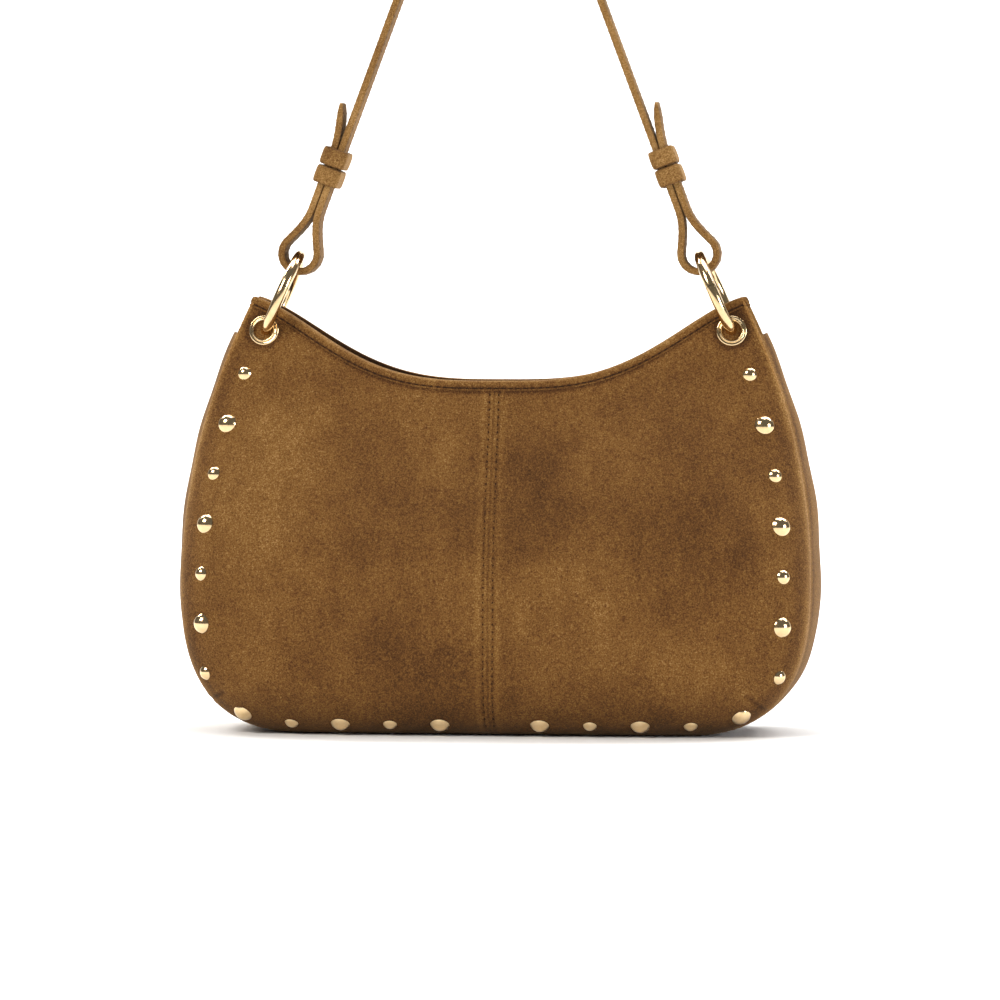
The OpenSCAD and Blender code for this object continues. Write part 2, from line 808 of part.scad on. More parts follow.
// The apex is an arc that meets both legs.
leg_offset = loop_centre * leg_out - strand;
apex_z = strap_h + strap_t / 2;
apex_r = (leg_offset - apex_z * sin(strap_lean)) / (1 - sin(strap_lean));
function apex_half() = [
  for (k = [0:12]) let (a = strap_lean + (90 - strap_lean) * k / 12)
    [apex_r * cos(a), apex_z - apex_r + apex_r * sin(a)]
];

// A tail lies flat against its leg under the keepers and stands away from it above them.
TIP_STEPS = 5;
TAIL_STEPS = 4;
tip_l = 9;
tail_free = keeper_at + keeper_gap / 2 + keeper_l + keeper_clear;
function tail_out(h) = strand + tail_open * pow(max(h - tail_free, 0) / (tail_l - tail_free), 1.5);
function tail() = [
  for (k = [0:TIP_STEPS]) let (h = tail_l - tip_l * (1 - cos(90 * k / TIP_STEPS))) [tail_out(h), h],
  for (k = [1:TAIL_STEPS])
    let (h = tail_l - tip_l - (tail_l - tip_l - tail_free) * k / TAIL_STEPS) [tail_out(h), h]
];
function right_line() = concat(
  [for (p = tail()) leg(p)],
  [for (p = loop_side(1)) leg(p)],
  [for (p = loop_round()) leg(p)],
  [for (k = [8:-1:0]) leg(loop_side(-1)[k])],
  apex_half()
);
function strap_line() = let (right = right_line(), n = len(right)) concat(
  right,
  [for (k = [n - 2:-1:0]) [-right[k].x, right[k].y]]
);
// Half thickness: pared from the full leather down to the tip at both ends.
function half_t(k, n) =
  let (e = min(k, n - 1 - k))
  e >= TIP_STEPS ? strap_t / 2 : tip_t / 2 + (strap_t - tip_t) / 2 * sin(90 * e / TIP_STEPS);
function strap_edge(line, side) = let (n = len(line)) [
  for (k = [0:n - 1])
    let (d = line[min(k + 1, n - 1)] - line[max(k - 1, 0)], across = [-d.y, d.x] / norm(d))
    let (h = half_t(k, n))
    line[k] + across * side * h
];

module strap() {
  line = strap_line();
  edge = strap_edge(line, -1);
  color(LEATHER) on_bag() rotate([90, 0, 0]) linear_extrude(strap_w, center = true)
    polygon(concat(strap_edge(line, 1), [for (k = [len(edge) - 1:-1:0]) edge[k]]));
}

function rounded(w, h, r) = [
  for (q = [0:3], k = [0:6])
    let (a = 90 * q + 15 * k, cx = (q == 0 || q == 3 ? 1 : -1) * (w / 2 - r), cy = (q < 2 ? 1 : -1) * (h / 2 - r))
    [cx + r * cos(a), cy + r * sin(a)]
];
module keeper(at) {
  inner_w = 2 * (strap_t + keeper_clear) + slot_gap;
  inner_d = strap_w + 2 * keeper_clear;
  centre = leg([0, at]);
  translate([centre.x, 0, centre.y]) rotate([0, -strap_lean, 0])
    linear_extrude(keeper_l, center = true)
      difference() {
        polygon(rounded(inner_w + 2 * keeper_t, inner_d + 2 * keeper_t, 2.2));
        polygon(rounded(inner_w, inner_d, 0.6));
      }
}

keeper_step = (keeper_l + keeper_gap) / 2;
module keeper_right_fixed() {
  color(SUEDE) on_bag() keeper(keeper_at + keeper_step);
}

module keeper_left_fixed() {
  color(SUEDE) on_bag() left() keeper(keeper_at + keeper_step);
}

module keeper_right_sliding() {
  color(SUEDE) on_bag() keeper(keeper_at - keeper_step);
}

module keeper_left_sliding() {
  color(SUEDE) on_bag() left() keeper(keeper_at - keeper_step);
}

strap();
keeper_left_fixed();
keeper_right_fixed();
keeper_left_sliding();
keeper_right_sliding();
ring_left_body();
ring_right_body();
ring_left_gate();
ring_right_gate();
ring_left_pin();
ring_right_pin();
front_panel_left();
front_panel_right();
back_panel_left();
back_panel_right();
gusset();
front_binding();
back_binding();
front_facing();
back_facing();
front_lining();
back_lining();
gusset_lining();
base_board();
eyelet_front_left();
eyelet_front_right();
eyelet_back_left();
eyelet_back_right();
eyelet_washers();
studs_large();
studs_small();
stud_caps();
snap_post();
snap_socket();
pocket_patch();
pocket_zip_tape();
pocket_zip_teeth();
pocket_slider();
pocket_puller();
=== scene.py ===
"""Visual model of a hobo bag in brown suede with pale gold hardware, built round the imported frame."""

import sys
import json
import logging
import math
from dataclasses import dataclass, field
from enum import Enum
from typing import Any, Sequence

import bmesh
import bpy
import numpy as np
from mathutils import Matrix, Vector


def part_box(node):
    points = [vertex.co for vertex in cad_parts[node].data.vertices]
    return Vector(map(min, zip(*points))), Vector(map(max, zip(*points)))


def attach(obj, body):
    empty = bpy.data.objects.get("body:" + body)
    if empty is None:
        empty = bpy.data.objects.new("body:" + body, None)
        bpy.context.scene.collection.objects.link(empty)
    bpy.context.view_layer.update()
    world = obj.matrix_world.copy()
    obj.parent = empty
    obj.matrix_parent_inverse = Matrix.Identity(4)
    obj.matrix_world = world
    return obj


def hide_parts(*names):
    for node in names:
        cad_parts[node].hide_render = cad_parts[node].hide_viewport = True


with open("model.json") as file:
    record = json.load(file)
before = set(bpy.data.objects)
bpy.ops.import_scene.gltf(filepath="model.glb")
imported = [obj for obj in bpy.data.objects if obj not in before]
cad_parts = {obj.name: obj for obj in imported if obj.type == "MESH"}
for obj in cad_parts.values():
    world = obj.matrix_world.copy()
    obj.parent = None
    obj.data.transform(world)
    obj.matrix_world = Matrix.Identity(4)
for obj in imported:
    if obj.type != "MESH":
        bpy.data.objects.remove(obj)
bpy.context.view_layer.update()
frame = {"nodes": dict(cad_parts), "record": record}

LOG = logging.getLogger("hobo_bag")
MM = 0.001
Array = np.ndarray


class Wall(Enum):
    """Wall of the bag, with the sign of its Y."""

    FRONT = -1
    BACK = 1


class Hand(Enum):
    """Half of the bag as the viewer of its front sees it, with the sign of its X."""

    LEFT = -1
    RIGHT = 1


class Slot(Enum):
    """Material slots of the record."""

    SUEDE = "suede"
    LEATHER = "leather"
    LINING = "lining"
    TAPE = "zip_tape"
    BOARD = "board"
    GOLD = "gold_metal"


# ---------------------------------------------------------------- numbers


def smooth(t: Array) -> Array:
    """Smooth step: 3t squared less 2t cubed, with t held between 0 and 1."""
    t = np.clip(t, 0.0, 1.0)
    return t * t * (3.0 - 2.0 * t)


def hump(t: Array) -> Array:
    """Bell curve: e to the power of minus t squared."""
    return np.exp(-t * t)


def roll(t: Array) -> Array:
    """Quarter circle from 0 to 1: the root of 1 less (1 - t) squared, with t held between 0 and 1."""
    return np.sqrt(np.maximum(1.0 - (1.0 - np.clip(t, 0.0, 1.0)) ** 2, 0.0))


def unit(v: Array) -> Array:
    """Each vector over its own length."""
    return v / np.maximum(np.linalg.norm(v, axis=-1, keepdims=True), 1e-12)


def power_wave(a: Array, e: float) -> Array:
    """Sine-like value raised to a power with its sign kept, for superellipses."""
    return np.sign(a) * np.abs(a) ** e


# ---------------------------------------------------------------- meshes


def quads(nu: int, nv: int, wrap_u: bool = False, wrap_v: bool = False) -> Array:
    """Quads of a grid of nu by nv points, stored row after row.

    Args:
        nu: Points along the first axis.
        nv: Points along the second axis.
        wrap_u: Joins the last row of points to the first.
        wrap_v: Joins the last column of points to the first.

    Returns:
        Corner numbers, four to a face.
    """
    i = np.arange(nu if wrap_u else nu - 1)[:, None]
    j = np.arange(nv if wrap_v else nv - 1)[None, :]
    i2, j2 = (i + 1) % nu, (j + 1) % nv
    return np.stack([i * nv + j, i2 * nv + j, i2 * nv + j2, i * nv + j2], -1).reshape(-1, 4)


@dataclass
class Surface:
    """Points, faces and what is painted on them, before it becomes a Blender mesh."""

    points: Array
    faces: Array
    caps: list[Sequence[int]] = field(default_factory=list)
    uv: Array | None = None
    paint: dict[str, Array] = field(default_factory=dict)

    def volume(self) -> float:
        """Signed volume: a sixth of the sum of each corner triangle's triple product."""
        p, f = self.points, self.faces
        total = 0.0
        for a, b, c in ((0, 1, 2), (0, 2, 3)):
            total += np.einsum("ij,ij->i", p[f[:, a]], np.cross(p[f[:, b]], p[f[:, c]])).sum()
        for cap in self.caps:
            q = p[list(cap)]
            total += np.einsum(
                "ij,ij->i", np.broadcast_to(q[0], q[1:-1].shape), np.cross(q[1:-1], q[2:])
            ).sum()
        return float(total / 6.0)

    def outward(self) -> "Surface":
        """Turns every face round if the closed surface's signed volume is negative."""
        if self.volume() < 0:
            self.faces = self.faces[:, ::-1]
            self.caps = [list(cap)[::-1] for cap in self.caps]
        return self


def sheet(
    outer: Array, inner: Array, uv: Array | None = None, paint: dict[str, Array] | None = None
) -> Surface:
    """Closed sheet between two grids of points, with four rims.

    Args:
        outer: Grid of points of the outside, nu by nv by 3.
        inner: Grid of the inside, of the same size.
        uv: Places on the cloth in millimetres, nu by nv by 2.
        paint: Values per grid point, by attribute name.

    Returns:
        The closed surface, facing outwards.
    """
    nu, nv = outer.shape[:2]
    n = nu * nv
    top = quads(nu, nv)
    idx = np.arange(n).reshape(nu, nv)
    ring = np.concatenate([idx[:-1, 0], idx[-1, :-1], idx[:0:-1, -1], idx[0, :0:-1]])
    nxt = np.roll(ring, -1)
    rim = np.stack([nxt, ring, ring + n, nxt + n], -1)
    faces = np.concatenate([top, top[:, ::-1] + n, rim])
    out = Surface(np.concatenate([outer.reshape(-1, 3), inner.reshape(-1, 3)]), faces)
    if uv is not None:
        out.uv = np.tile(uv.reshape(-1, 2), (2, 1))
    for key, value in (paint or {}).items():
        out.paint[key] = np.tile(np.broadcast_to(value, (nu, nv)).reshape(-1), 2)
    return out.outward()


def tube(
    grid: Array, uv: Array | None = None, closed: bool = False, paint: dict[str, Array] | None = None
) -> Surface:
    """Profile carried along a path: rows of a grid are whole rings, joined end to end.

    Args:
        grid: Rings of points, rings by points by 3.
        uv: Places along and round the tube in millimetres.
        closed: The last ring joins the first.
        paint: Values per grid point, by attribute name.

    Returns:
        The closed surface, with a flat cap at each end of an open one.
    """
    nu, nv = grid.shape[:2]
    caps = [] if closed else [list(range(nv)), list(range(nu * nv - 1, (nu - 1) * nv - 1, -1))]
    faces = quads(nu, nv, closed, True)
    out = Surface(grid.reshape(-1, 3), faces, caps)
    if caps:
        # A cap's edges run against the side faces' edges, so both point the same way.
        side = {(int(f[k]), int(f[(k + 1) % 4])) for f in faces[: nv] for k in range(4)}
        if (0, 1) in side:
            out.caps = [cap[::-1] for cap in caps]
    # The volume is measured about the tube's own middle, where rounding is smallest.
    if Surface(out.points - out.points.mean(0), faces, out.caps).volume() < 0:
        out.faces = out.faces[:, ::-1]
        out.caps = [cap[::-1] for cap in out.caps]
    if uv is not None:
        out.uv = uv.reshape(-1, 2)
    for key, value in (paint or {}).items():
        out.paint[key] = np.broadcast_to(value, (nu, nv)).reshape(-1)
    return out


def revolve(profile: Array, centre: Array, axis: Array, steps: int = 96) -> Surface:
    """Closed profile of radius and height turned round an axis.

    Args:
        profile: Closed loop of [radius, height along the axis].
        centre: Where the height is 0.
        axis: Direction of the axis.
        steps: Points round a turn.

    Returns:
        The closed surface.
    """
    axis = unit(np.asarray(axis, float))
    across = unit(np.cross(axis, [0.0, 0.0, 1.0]))
    other = np.cross(axis, across)
    a = np.linspace(0, 2 * math.pi, steps, endpoint=False)[:, None, None]
    r, h = profile[None, :, :1], profile[None, :, 1:]
    grid = centre + (np.cos(a) * across + np.sin(a) * other) * r + axis * h
    return tube(grid, closed=True)


def rows_of(parts: Sequence[Surface]) -> Surface:
    """Several surfaces as one."""
    at, points, faces = 0, [], []
    for part in parts:
        points.append(part.points)
        faces.append(part.faces + at)
        at += len(part.points)
    return Surface(np.concatenate(points), np.concatenate(faces))


@dataclass(frozen=True)
class Place:
    """Turns the bag's own millimetres, counted from its base, into the row's frame in metres."""

    base: float

    def metres(self, points: Array) -> Array:
        """Millimetres over the base to metres in the row's frame."""
        return points * MM + np.array([0.0, 0.0, self.base])

    def piece(
        self,
        name: str,
        shape: Surface,
        finish: bpy.types.Material,
        body: str,
        slot: Slot,
        stands_for: Sequence[str] = (),
    ) -> bpy.types.Object:
        """Makes a mesh object of a surface, dresses it and hangs it on its body.

        Args:
            name: Object's name.
            shape: The surface, in millimetres over the base.
            finish: Its material.
            body: CAD body that it moves with.
            slot: Record slot of its finish; not used.
            stands_for: CAD nodes that it replaces.

        Returns:
            The object.
        """
        mesh = bpy.data.meshes.new(name)
        mesh.vertices.add(len(shape.points))
        mesh.vertices.foreach_set("co", self.metres(shape.points).astype(np.float32).ravel())
        sizes = np.concatenate([np.full(len(shape.faces), 4), [len(c) for c in shape.caps]]).astype(np.int32)
        corners = np.concatenate([shape.faces.ravel(), *[np.asarray(c) for c in shape.caps]]).astype(np.int32)
        mesh.loops.add(len(corners))
        mesh.loops.foreach_set("vertex_index", corners)
        mesh.polygons.add(len(sizes))
        mesh.polygons.foreach_set("loop_start", np.concatenate([[0], np.cumsum(sizes)[:-1]]).astype(np.int32))
        mesh.update(calc_edges=True)
        mesh.validate()
        if shape.uv is not None:
            layer = mesh.uv_layers.new(name="cloth")
            layer.data.foreach_set("uv", shape.uv[corners].astype(np.float32).ravel())
        for key, value in shape.paint.items():
            mesh.attributes.new(key, "FLOAT", "POINT").data.foreach_set("value", value.astype(np.float32))
        mesh.polygons.foreach_set("use_smooth", np.ones(len(mesh.polygons), bool))
        mesh.set_sharp_from_angle(angle=math.radians(50))
        mesh.materials.append(finish)
        obj = bpy.data.objects.new(name, mesh)
        bpy.context.scene.collection.objects.link(obj)
        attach(obj, body)
        if stands_for:
            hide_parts(*stands_for)
        LOG.info("%s: %d faces, on %s", name, len(sizes), body)
        return obj


# ---------------------------------------------------------------- finishes


def linear(colour: str) -> tuple[float, float, float, float]:
    """sRGB hex colour to linear red, green, blue and alpha."""
    parts = [int(colour[k : k + 2], 16) / 255 for k in (1, 3, 5)]
    return (*[c / 12.92 if c <= 0.04045 else ((c + 0.055) / 1.055) ** 2.4 for c in parts], 1.0)


def add(
    tree: bpy.types.NodeTree, kind: str, inputs: dict[Any, Any] | None = None, **settings: Any
) -> bpy.types.Node:
    """Adds a node with its settings and links.

    Args:
        tree: Node tree of the material.
        kind: Node type, without the ShaderNode prefix.
        inputs: Values or output sockets, by input name or number.
        settings: Properties of the node.

    Returns:
        The node.
    """
    node = tree.nodes.new("ShaderNode" + kind)
    for key, value in settings.items():
        setattr(node, key, value)
    for key, value in (inputs or {}).items():
        if isinstance(value, bpy.types.NodeSocket):
            tree.links.new(value, node.inputs[key])
        else:
            node.inputs[key].default_value = value
    return node


def ramp(
    tree: bpy.types.NodeTree, value: bpy.types.NodeSocket, stops: Sequence[tuple[float, str]]
) -> bpy.types.NodeSocket:
    """Colour ramp over hex stops."""
    node = add(tree, "ValToRGB", {"Fac": value})
    band = node.color_ramp
    while len(band.elements) < len(stops):
        band.elements.new(0.5)
    for element, (at, colour) in zip(band.elements, stops):
        element.position, element.color = at, linear(colour)
    return node.outputs["Color"]


def fresh(name: str) -> tuple[bpy.types.Material, bpy.types.NodeTree, bpy.types.Node]:
    """A new node material with its Principled shader."""
    mat = bpy.data.materials.new(name)
    mat.use_nodes = True
    return mat, mat.node_tree, mat.node_tree.nodes["Principled BSDF"]


def sockets(shader: bpy.types.Node, values: dict[str, Any]) -> None:
    """Sets uniform values on the shader's own sockets."""
    for key, value in values.items():
        shader.inputs[key].default_value = value


def per_metre(size_mm: float) -> float:
    """Noise scale for marks of one size, on coordinates in metres."""
    return 1.0 / (size_mm * MM)


@dataclass(frozen=True)
class NappedSuede:
    """Split cowhide suede, sanded to a short nap and brushed.

    The eye gets a matt, finely speckled brown with cloudy patches where the nap lies other ways, a pale bloom
    at grazing angles, lighter edges and ridges from rubbed nap with a painted highlight, and painted shade in
    the seams.
    """

    name: str
    deep: str = "#2d1a08"
    dark: str = "#4d2f11"
    body: str = "#68451e"
    light: str = "#7d592a"
    bloom: str = "#a58150"
    # clumps of nap; single hairs are too fine to show, so they are drawn as coarse as this
    speckle_mm: float = 0.62
    stroke_mm: float = 9.0  # marks of the brush
    cloud_mm: float = 75.0  # patches of laid nap
    lift_mm: float = 0.3

    def make(self) -> bpy.types.Material:
        """Builds the material."""
        mat, tree, shader = fresh(self.name)
        at = add(tree, "TexCoord").outputs["Object"]
        cloud = add(
            tree, "TexNoise",
            {"Vector": at, "Scale": per_metre(self.cloud_mm), "Detail": 3.0, "Roughness": 0.55}
        )
        drawn = add(tree, "Mapping", {"Vector": at, "Rotation": (0.0, 0.35, 0.0), "Scale": (1.0, 1.0, 0.38)})
        stroke = add(
            tree, "TexNoise",
            {"Vector": drawn.outputs[0], "Scale": per_metre(self.stroke_mm), "Detail": 5.0, "Roughness": 0.62}
        )
        speck = add(
            tree, "TexNoise",
            {"Vector": at, "Scale": per_metre(self.speckle_mm), "Detail": 2.5, "Roughness": 0.7}
        )
        hair = add(
            tree, "TexNoise",
            {"Vector": at, "Scale": per_metre(self.speckle_mm * 2.6), "Detail": 4.0, "Roughness": 0.75}
        )
        tone: Any = 0.5
        for noise, share in ((cloud, 0.75), (stroke, 0.34), (speck, 1.5), (hair, 0.7)):
            middle = add(tree, "Math", {0: tone, 1: share / 2}, operation="SUBTRACT")
            tone = add(
                tree, "Math", {0: noise.outputs["Fac"], 1: share, 2: middle.outputs[0]},
                operation="MULTIPLY_ADD"
            ).outputs[0]
        # wear_and_highlight lightens the tone: real rubbed nap plus a painted highlight on edges and ridges.
        # shaded darkens it with painted shade in seams, grooves, under the binding, at the base and round the
        # eyelets.
        wear_and_highlight = add(tree, "Attribute", attribute_name="wear_and_highlight").outputs["Fac"]
        shaded = add(tree, "Attribute", attribute_name="shaded").outputs["Fac"]
        tone = add(tree, "Math", {0: wear_and_highlight, 1: 0.42, 2: tone}, operation="MULTIPLY_ADD")
        tone = add(
            tree, "Math", {0: shaded, 1: -0.5, 2: tone.outputs[0]}, operation="MULTIPLY_ADD", use_clamp=True
        )
        colour = ramp(
            tree, tone.outputs[0],
            [(0.0, self.deep), (0.3, self.dark), (0.52, self.body), (0.74, self.light), (1.0, self.bloom)]
        )
        tree.links.new(colour, shader.inputs["Base Color"])
        nap = add(
            tree, "Math", {0: hair.outputs["Fac"], 1: 0.5, 2: speck.outputs["Fac"]}, operation="MULTIPLY_ADD"
        )
        fine = add(tree, "Bump", {"Height": nap.outputs[0], "Strength": 0.55, "Distance": self.lift_mm * MM})
        broad = add(
            tree, "Bump",
            {
                "Height": stroke.outputs["Fac"], "Strength": 0.35, "Distance": 0.5 * MM,
                "Normal": fine.outputs[0]
            }
        )
        tree.links.new(broad.outputs[0], shader.inputs["Normal"])
        sockets(
            shader,
            {
                "Roughness": 0.93, "IOR": 1.45, "Specular IOR Level": 0.25, "Sheen Weight": 0.28,
                "Sheen Roughness": 0.45, "Sheen Tint": linear("#d9b98c")
            }
        )
        return mat


@dataclass(frozen=True)
class Plate:
    """Zinc alloy, polished and plated pale gold.

    The eye gets a clear warm mirror, a little softened by fine rubbing marks.
    """

    name: str
    colour: str = "#e6cba0"
    roughness: float = 0.13
    rub_mm: float = 0.35

    def make(self) -> bpy.types.Material:
        """Builds the material."""
        mat, tree, shader = fresh(self.name)
        at = add(tree, "TexCoord").outputs["Object"]
        rub = add(
            tree, "TexNoise",
            {"Vector": at, "Scale": per_metre(self.rub_mm * 8), "Detail": 4.0, "Roughness": 0.6}
        )
        colour = ramp(tree, rub.outputs["Fac"], [(0.3, self.colour), (0.75, "#dcbd8c")])
        tree.links.new(colour, shader.inputs["Base Color"])
        rough = add(
            tree, "MapRange",
            {
                "Value": rub.outputs["Fac"], "From Min": 0.3, "From Max": 0.7,
                "To Min": self.roughness * 0.75, "To Max": self.roughness * 1.3
            }
        )
        tree.links.new(rough.outputs[0], shader.inputs["Roughness"])
        marks = add(tree, "TexNoise", {"Vector": at, "Scale": per_metre(self.rub_mm), "Detail": 2.0})
        bump = add(tree, "Bump", {"Height": marks.outputs["Fac"], "Strength": 0.06, "Distance": 0.02 * MM})
        tree.links.new(bump.outputs[0], shader.inputs["Normal"])
        sockets(shader, {"Metallic": 1.0})
        return mat


@dataclass(frozen=True)
class Weave:
    """Woven cloth, drawn from its two sets of threads on the cloth's own millimetres.

    The eye gets a fine raised grid of threads with darker holes between them, and cloudy dye.
    """

    name: str
    thread: str
    hole: str
    pitch_mm: float  # threads finer than about 0.8 mm don't show, so they are drawn at that size
    slant: float = 0.0
    roughness: float = 0.9

    def make(self) -> bpy.types.Material:
        """Builds the material."""
        mat, tree, shader = fresh(self.name)
        uv = add(tree, "UVMap", uv_map="cloth").outputs[0]
        turned = add(tree, "Mapping", {"Vector": uv, "Rotation": (0.0, 0.0, self.slant)}).outputs[0]
        # A wave texture's rings repeat every pi over 10 scales.
        scale = math.pi / 10 / self.pitch_mm
        warp = add(
            tree, "TexWave", {"Vector": turned, "Scale": scale, "Distortion": 0.6, "Detail": 1.0},
            bands_direction="X"
        )
        weft = add(
            tree, "TexWave", {"Vector": turned, "Scale": scale, "Distortion": 0.6, "Detail": 1.0},
            bands_direction="Y"
        )
        cloth = add(tree, "Math", {0: warp.outputs["Fac"], 1: weft.outputs["Fac"]}, operation="MULTIPLY")
        fuzz = add(
            tree, "TexNoise",
            {"Vector": add(tree, "TexCoord").outputs["Object"], "Scale": per_metre(9.0), "Detail": 5.0}
        )
        tone = add(
            tree, "Math", {0: fuzz.outputs["Fac"], 1: 0.5, 2: cloth.outputs[0]}, operation="MULTIPLY_ADD"
        )
        colour = ramp(tree, tone.outputs[0], [(0.15, self.hole), (0.8, self.thread)])
        tree.links.new(colour, shader.inputs["Base Color"])
        bump = add(tree, "Bump", {"Height": cloth.outputs[0], "Strength": 0.6, "Distance": 0.15 * MM})
        tree.links.new(bump.outputs[0], shader.inputs["Normal"])
        sockets(shader, {"Roughness": self.roughness, "Sheen Weight": 0.15, "Sheen Roughness": 0.5})
        return mat


@dataclass(frozen=True)
class GrainLeather:
    """Smooth cowhide with a pebbled grain and a semi-matt wax finish.

    The eye gets soft highlights broken by small rounded pebbles with darker creases round them.
    """

    name: str
    pebble: str = "#4e3216"
    crease: str = "#2f1d0b"
    grain_mm: float = 1.3

    def make(self) -> bpy.types.Material:
        """Builds the material."""
        mat, tree, shader = fresh(self.name)
        at = add(tree, "TexCoord").outputs["Object"]
        cell = add(
            tree, "TexVoronoi", {"Vector": at, "Scale": per_metre(self.grain_mm), "Randomness": 0.9},
            feature="DISTANCE_TO_EDGE"
        )
        dye = add(tree, "TexNoise", {"Vector": at, "Scale": per_metre(18.0), "Detail": 4.0})
        tone = add(
            tree, "Math", {0: cell.outputs["Distance"], 1: 1.6, 2: dye.outputs["Fac"]},
            operation="MULTIPLY_ADD"
        )
        tree.links.new(
            ramp(tree, tone.outputs[0], [(0.3, self.crease), (0.8, self.pebble)]), shader.inputs["Base Color"]
        )
        bump = add(tree, "Bump", {"Height": cell.outputs["Distance"], "Strength": 0.5, "Distance": 0.12 * MM})
        tree.links.new(bump.outputs[0], shader.inputs["Normal"])
        sockets(shader, {"Roughness": 0.58, "IOR": 1.5})
        return mat


@dataclass(frozen=True)
class WaxedThread:
    """Bonded polyester thread, waxed and twisted.

    The eye gets short dark stitches with a dull shine and slanting plies.
    """

    name: str
    colour: str = "#20140a"
    ply: str = "#33220f"
    ply_mm: float = 0.45

    def make(self) -> bpy.types.Material:
        """Builds the material."""
        mat, tree, shader = fresh(self.name)
        at = add(tree, "TexCoord").outputs["Object"]
        twist = add(
            tree, "TexWave", {"Vector": at, "Scale": math.pi / 10 / (self.ply_mm * MM), "Distortion": 0.4},
            bands_direction="DIAGONAL"
        )
        tree.links.new(
            ramp(tree, twist.outputs["Fac"], [(0.2, self.colour), (0.9, self.ply)]),
            shader.inputs["Base Color"]
        )
        bump = add(tree, "Bump", {"Height": twist.outputs["Fac"], "Strength": 0.4, "Distance": 0.06 * MM})
        tree.links.new(bump.outputs[0], shader.inputs["Normal"])
        sockets(shader, {"Roughness": 0.85, "Specular IOR Level": 0.15})
        return mat


@dataclass(frozen=True)
class PressedBoard:
    """Bonded leather-fibre board, rolled flat.

    The eye gets a dull grey-brown sheet flecked with fibres.
    """

    name: str
    fibre: str = "#7d6f5f"
    fleck: str = "#4d4338"
    fibre_mm: float = 2.0

    def make(self) -> bpy.types.Material:
        """Builds the material."""
        mat, tree, shader = fresh(self.name)
        at = add(tree, "TexCoord").outputs["Object"]
        drawn = add(tree, "Mapping", {"Vector": at, "Scale": (0.25, 1.0, 1.0)}).outputs[0]
        fibre = add(
            tree, "TexNoise",
            {"Vector": drawn, "Scale": per_metre(self.fibre_mm), "Detail": 6.0, "Roughness": 0.7}
        )
        tree.links.new(
            ramp(tree, fibre.outputs["Fac"], [(0.35, self.fleck), (0.65, self.fibre)]),
            shader.inputs["Base Color"]
        )
        bump = add(tree, "Bump", {"Height": fibre.outputs["Fac"], "Strength": 0.3, "Distance": 0.08 * MM})
        tree.links.new(bump.outputs[0], shader.inputs["Normal"])
        sockets(shader, {"Roughness": 0.88})
        return mat


@dataclass
class Wardrobe:
    """Every finish of the bag, made once."""

    suede: bpy.types.Material = field(default_factory=lambda: NappedSuede("suede_brushed_nap").make())
    # A lighter copy of the suede: painted highlight along the rounded side-seam edge.
    edge: bpy.types.Material = field(
        default_factory=lambda: NappedSuede(
            "suede_seam_edge_highlight", dark="#60401c", body="#80592e", light="#9a733e", lift_mm=0.2
        ).make()
    )
    strap: bpy.types.Material = field(
        default_factory=lambda: NappedSuede(
            "suede_faced_strap", dark="#54371a", body="#6f4d27", light="#856234",
            stroke_mm=5.0, cloud_mm=40.0, lift_mm=0.2,
        ).make()
    )
    gold: bpy.types.Material = field(default_factory=lambda: Plate("pale_gold_plate").make())
    facing: bpy.types.Material = field(default_factory=lambda: GrainLeather("grained_facing_leather").make())
    lining: bpy.types.Material = field(
        default_factory=lambda: Weave(
            "cotton_twill_lining", "#6d5334", "#3f2e1a", 0.9, math.radians(40)
        ).make()
    )
    tape: bpy.types.Material = field(
        default_factory=lambda: Weave("zip_tape_weave", "#4a3a28", "#2a2015", 0.8, 0.0, 0.8).make()
    )
    board: bpy.types.Material = field(default_factory=lambda: PressedBoard("pressed_fibre_board").make())
    thread: bpy.types.Material = field(default_factory=lambda: WaxedThread("waxed_brown_thread").make())


# ---------------------------------------------------------------- the bag's form


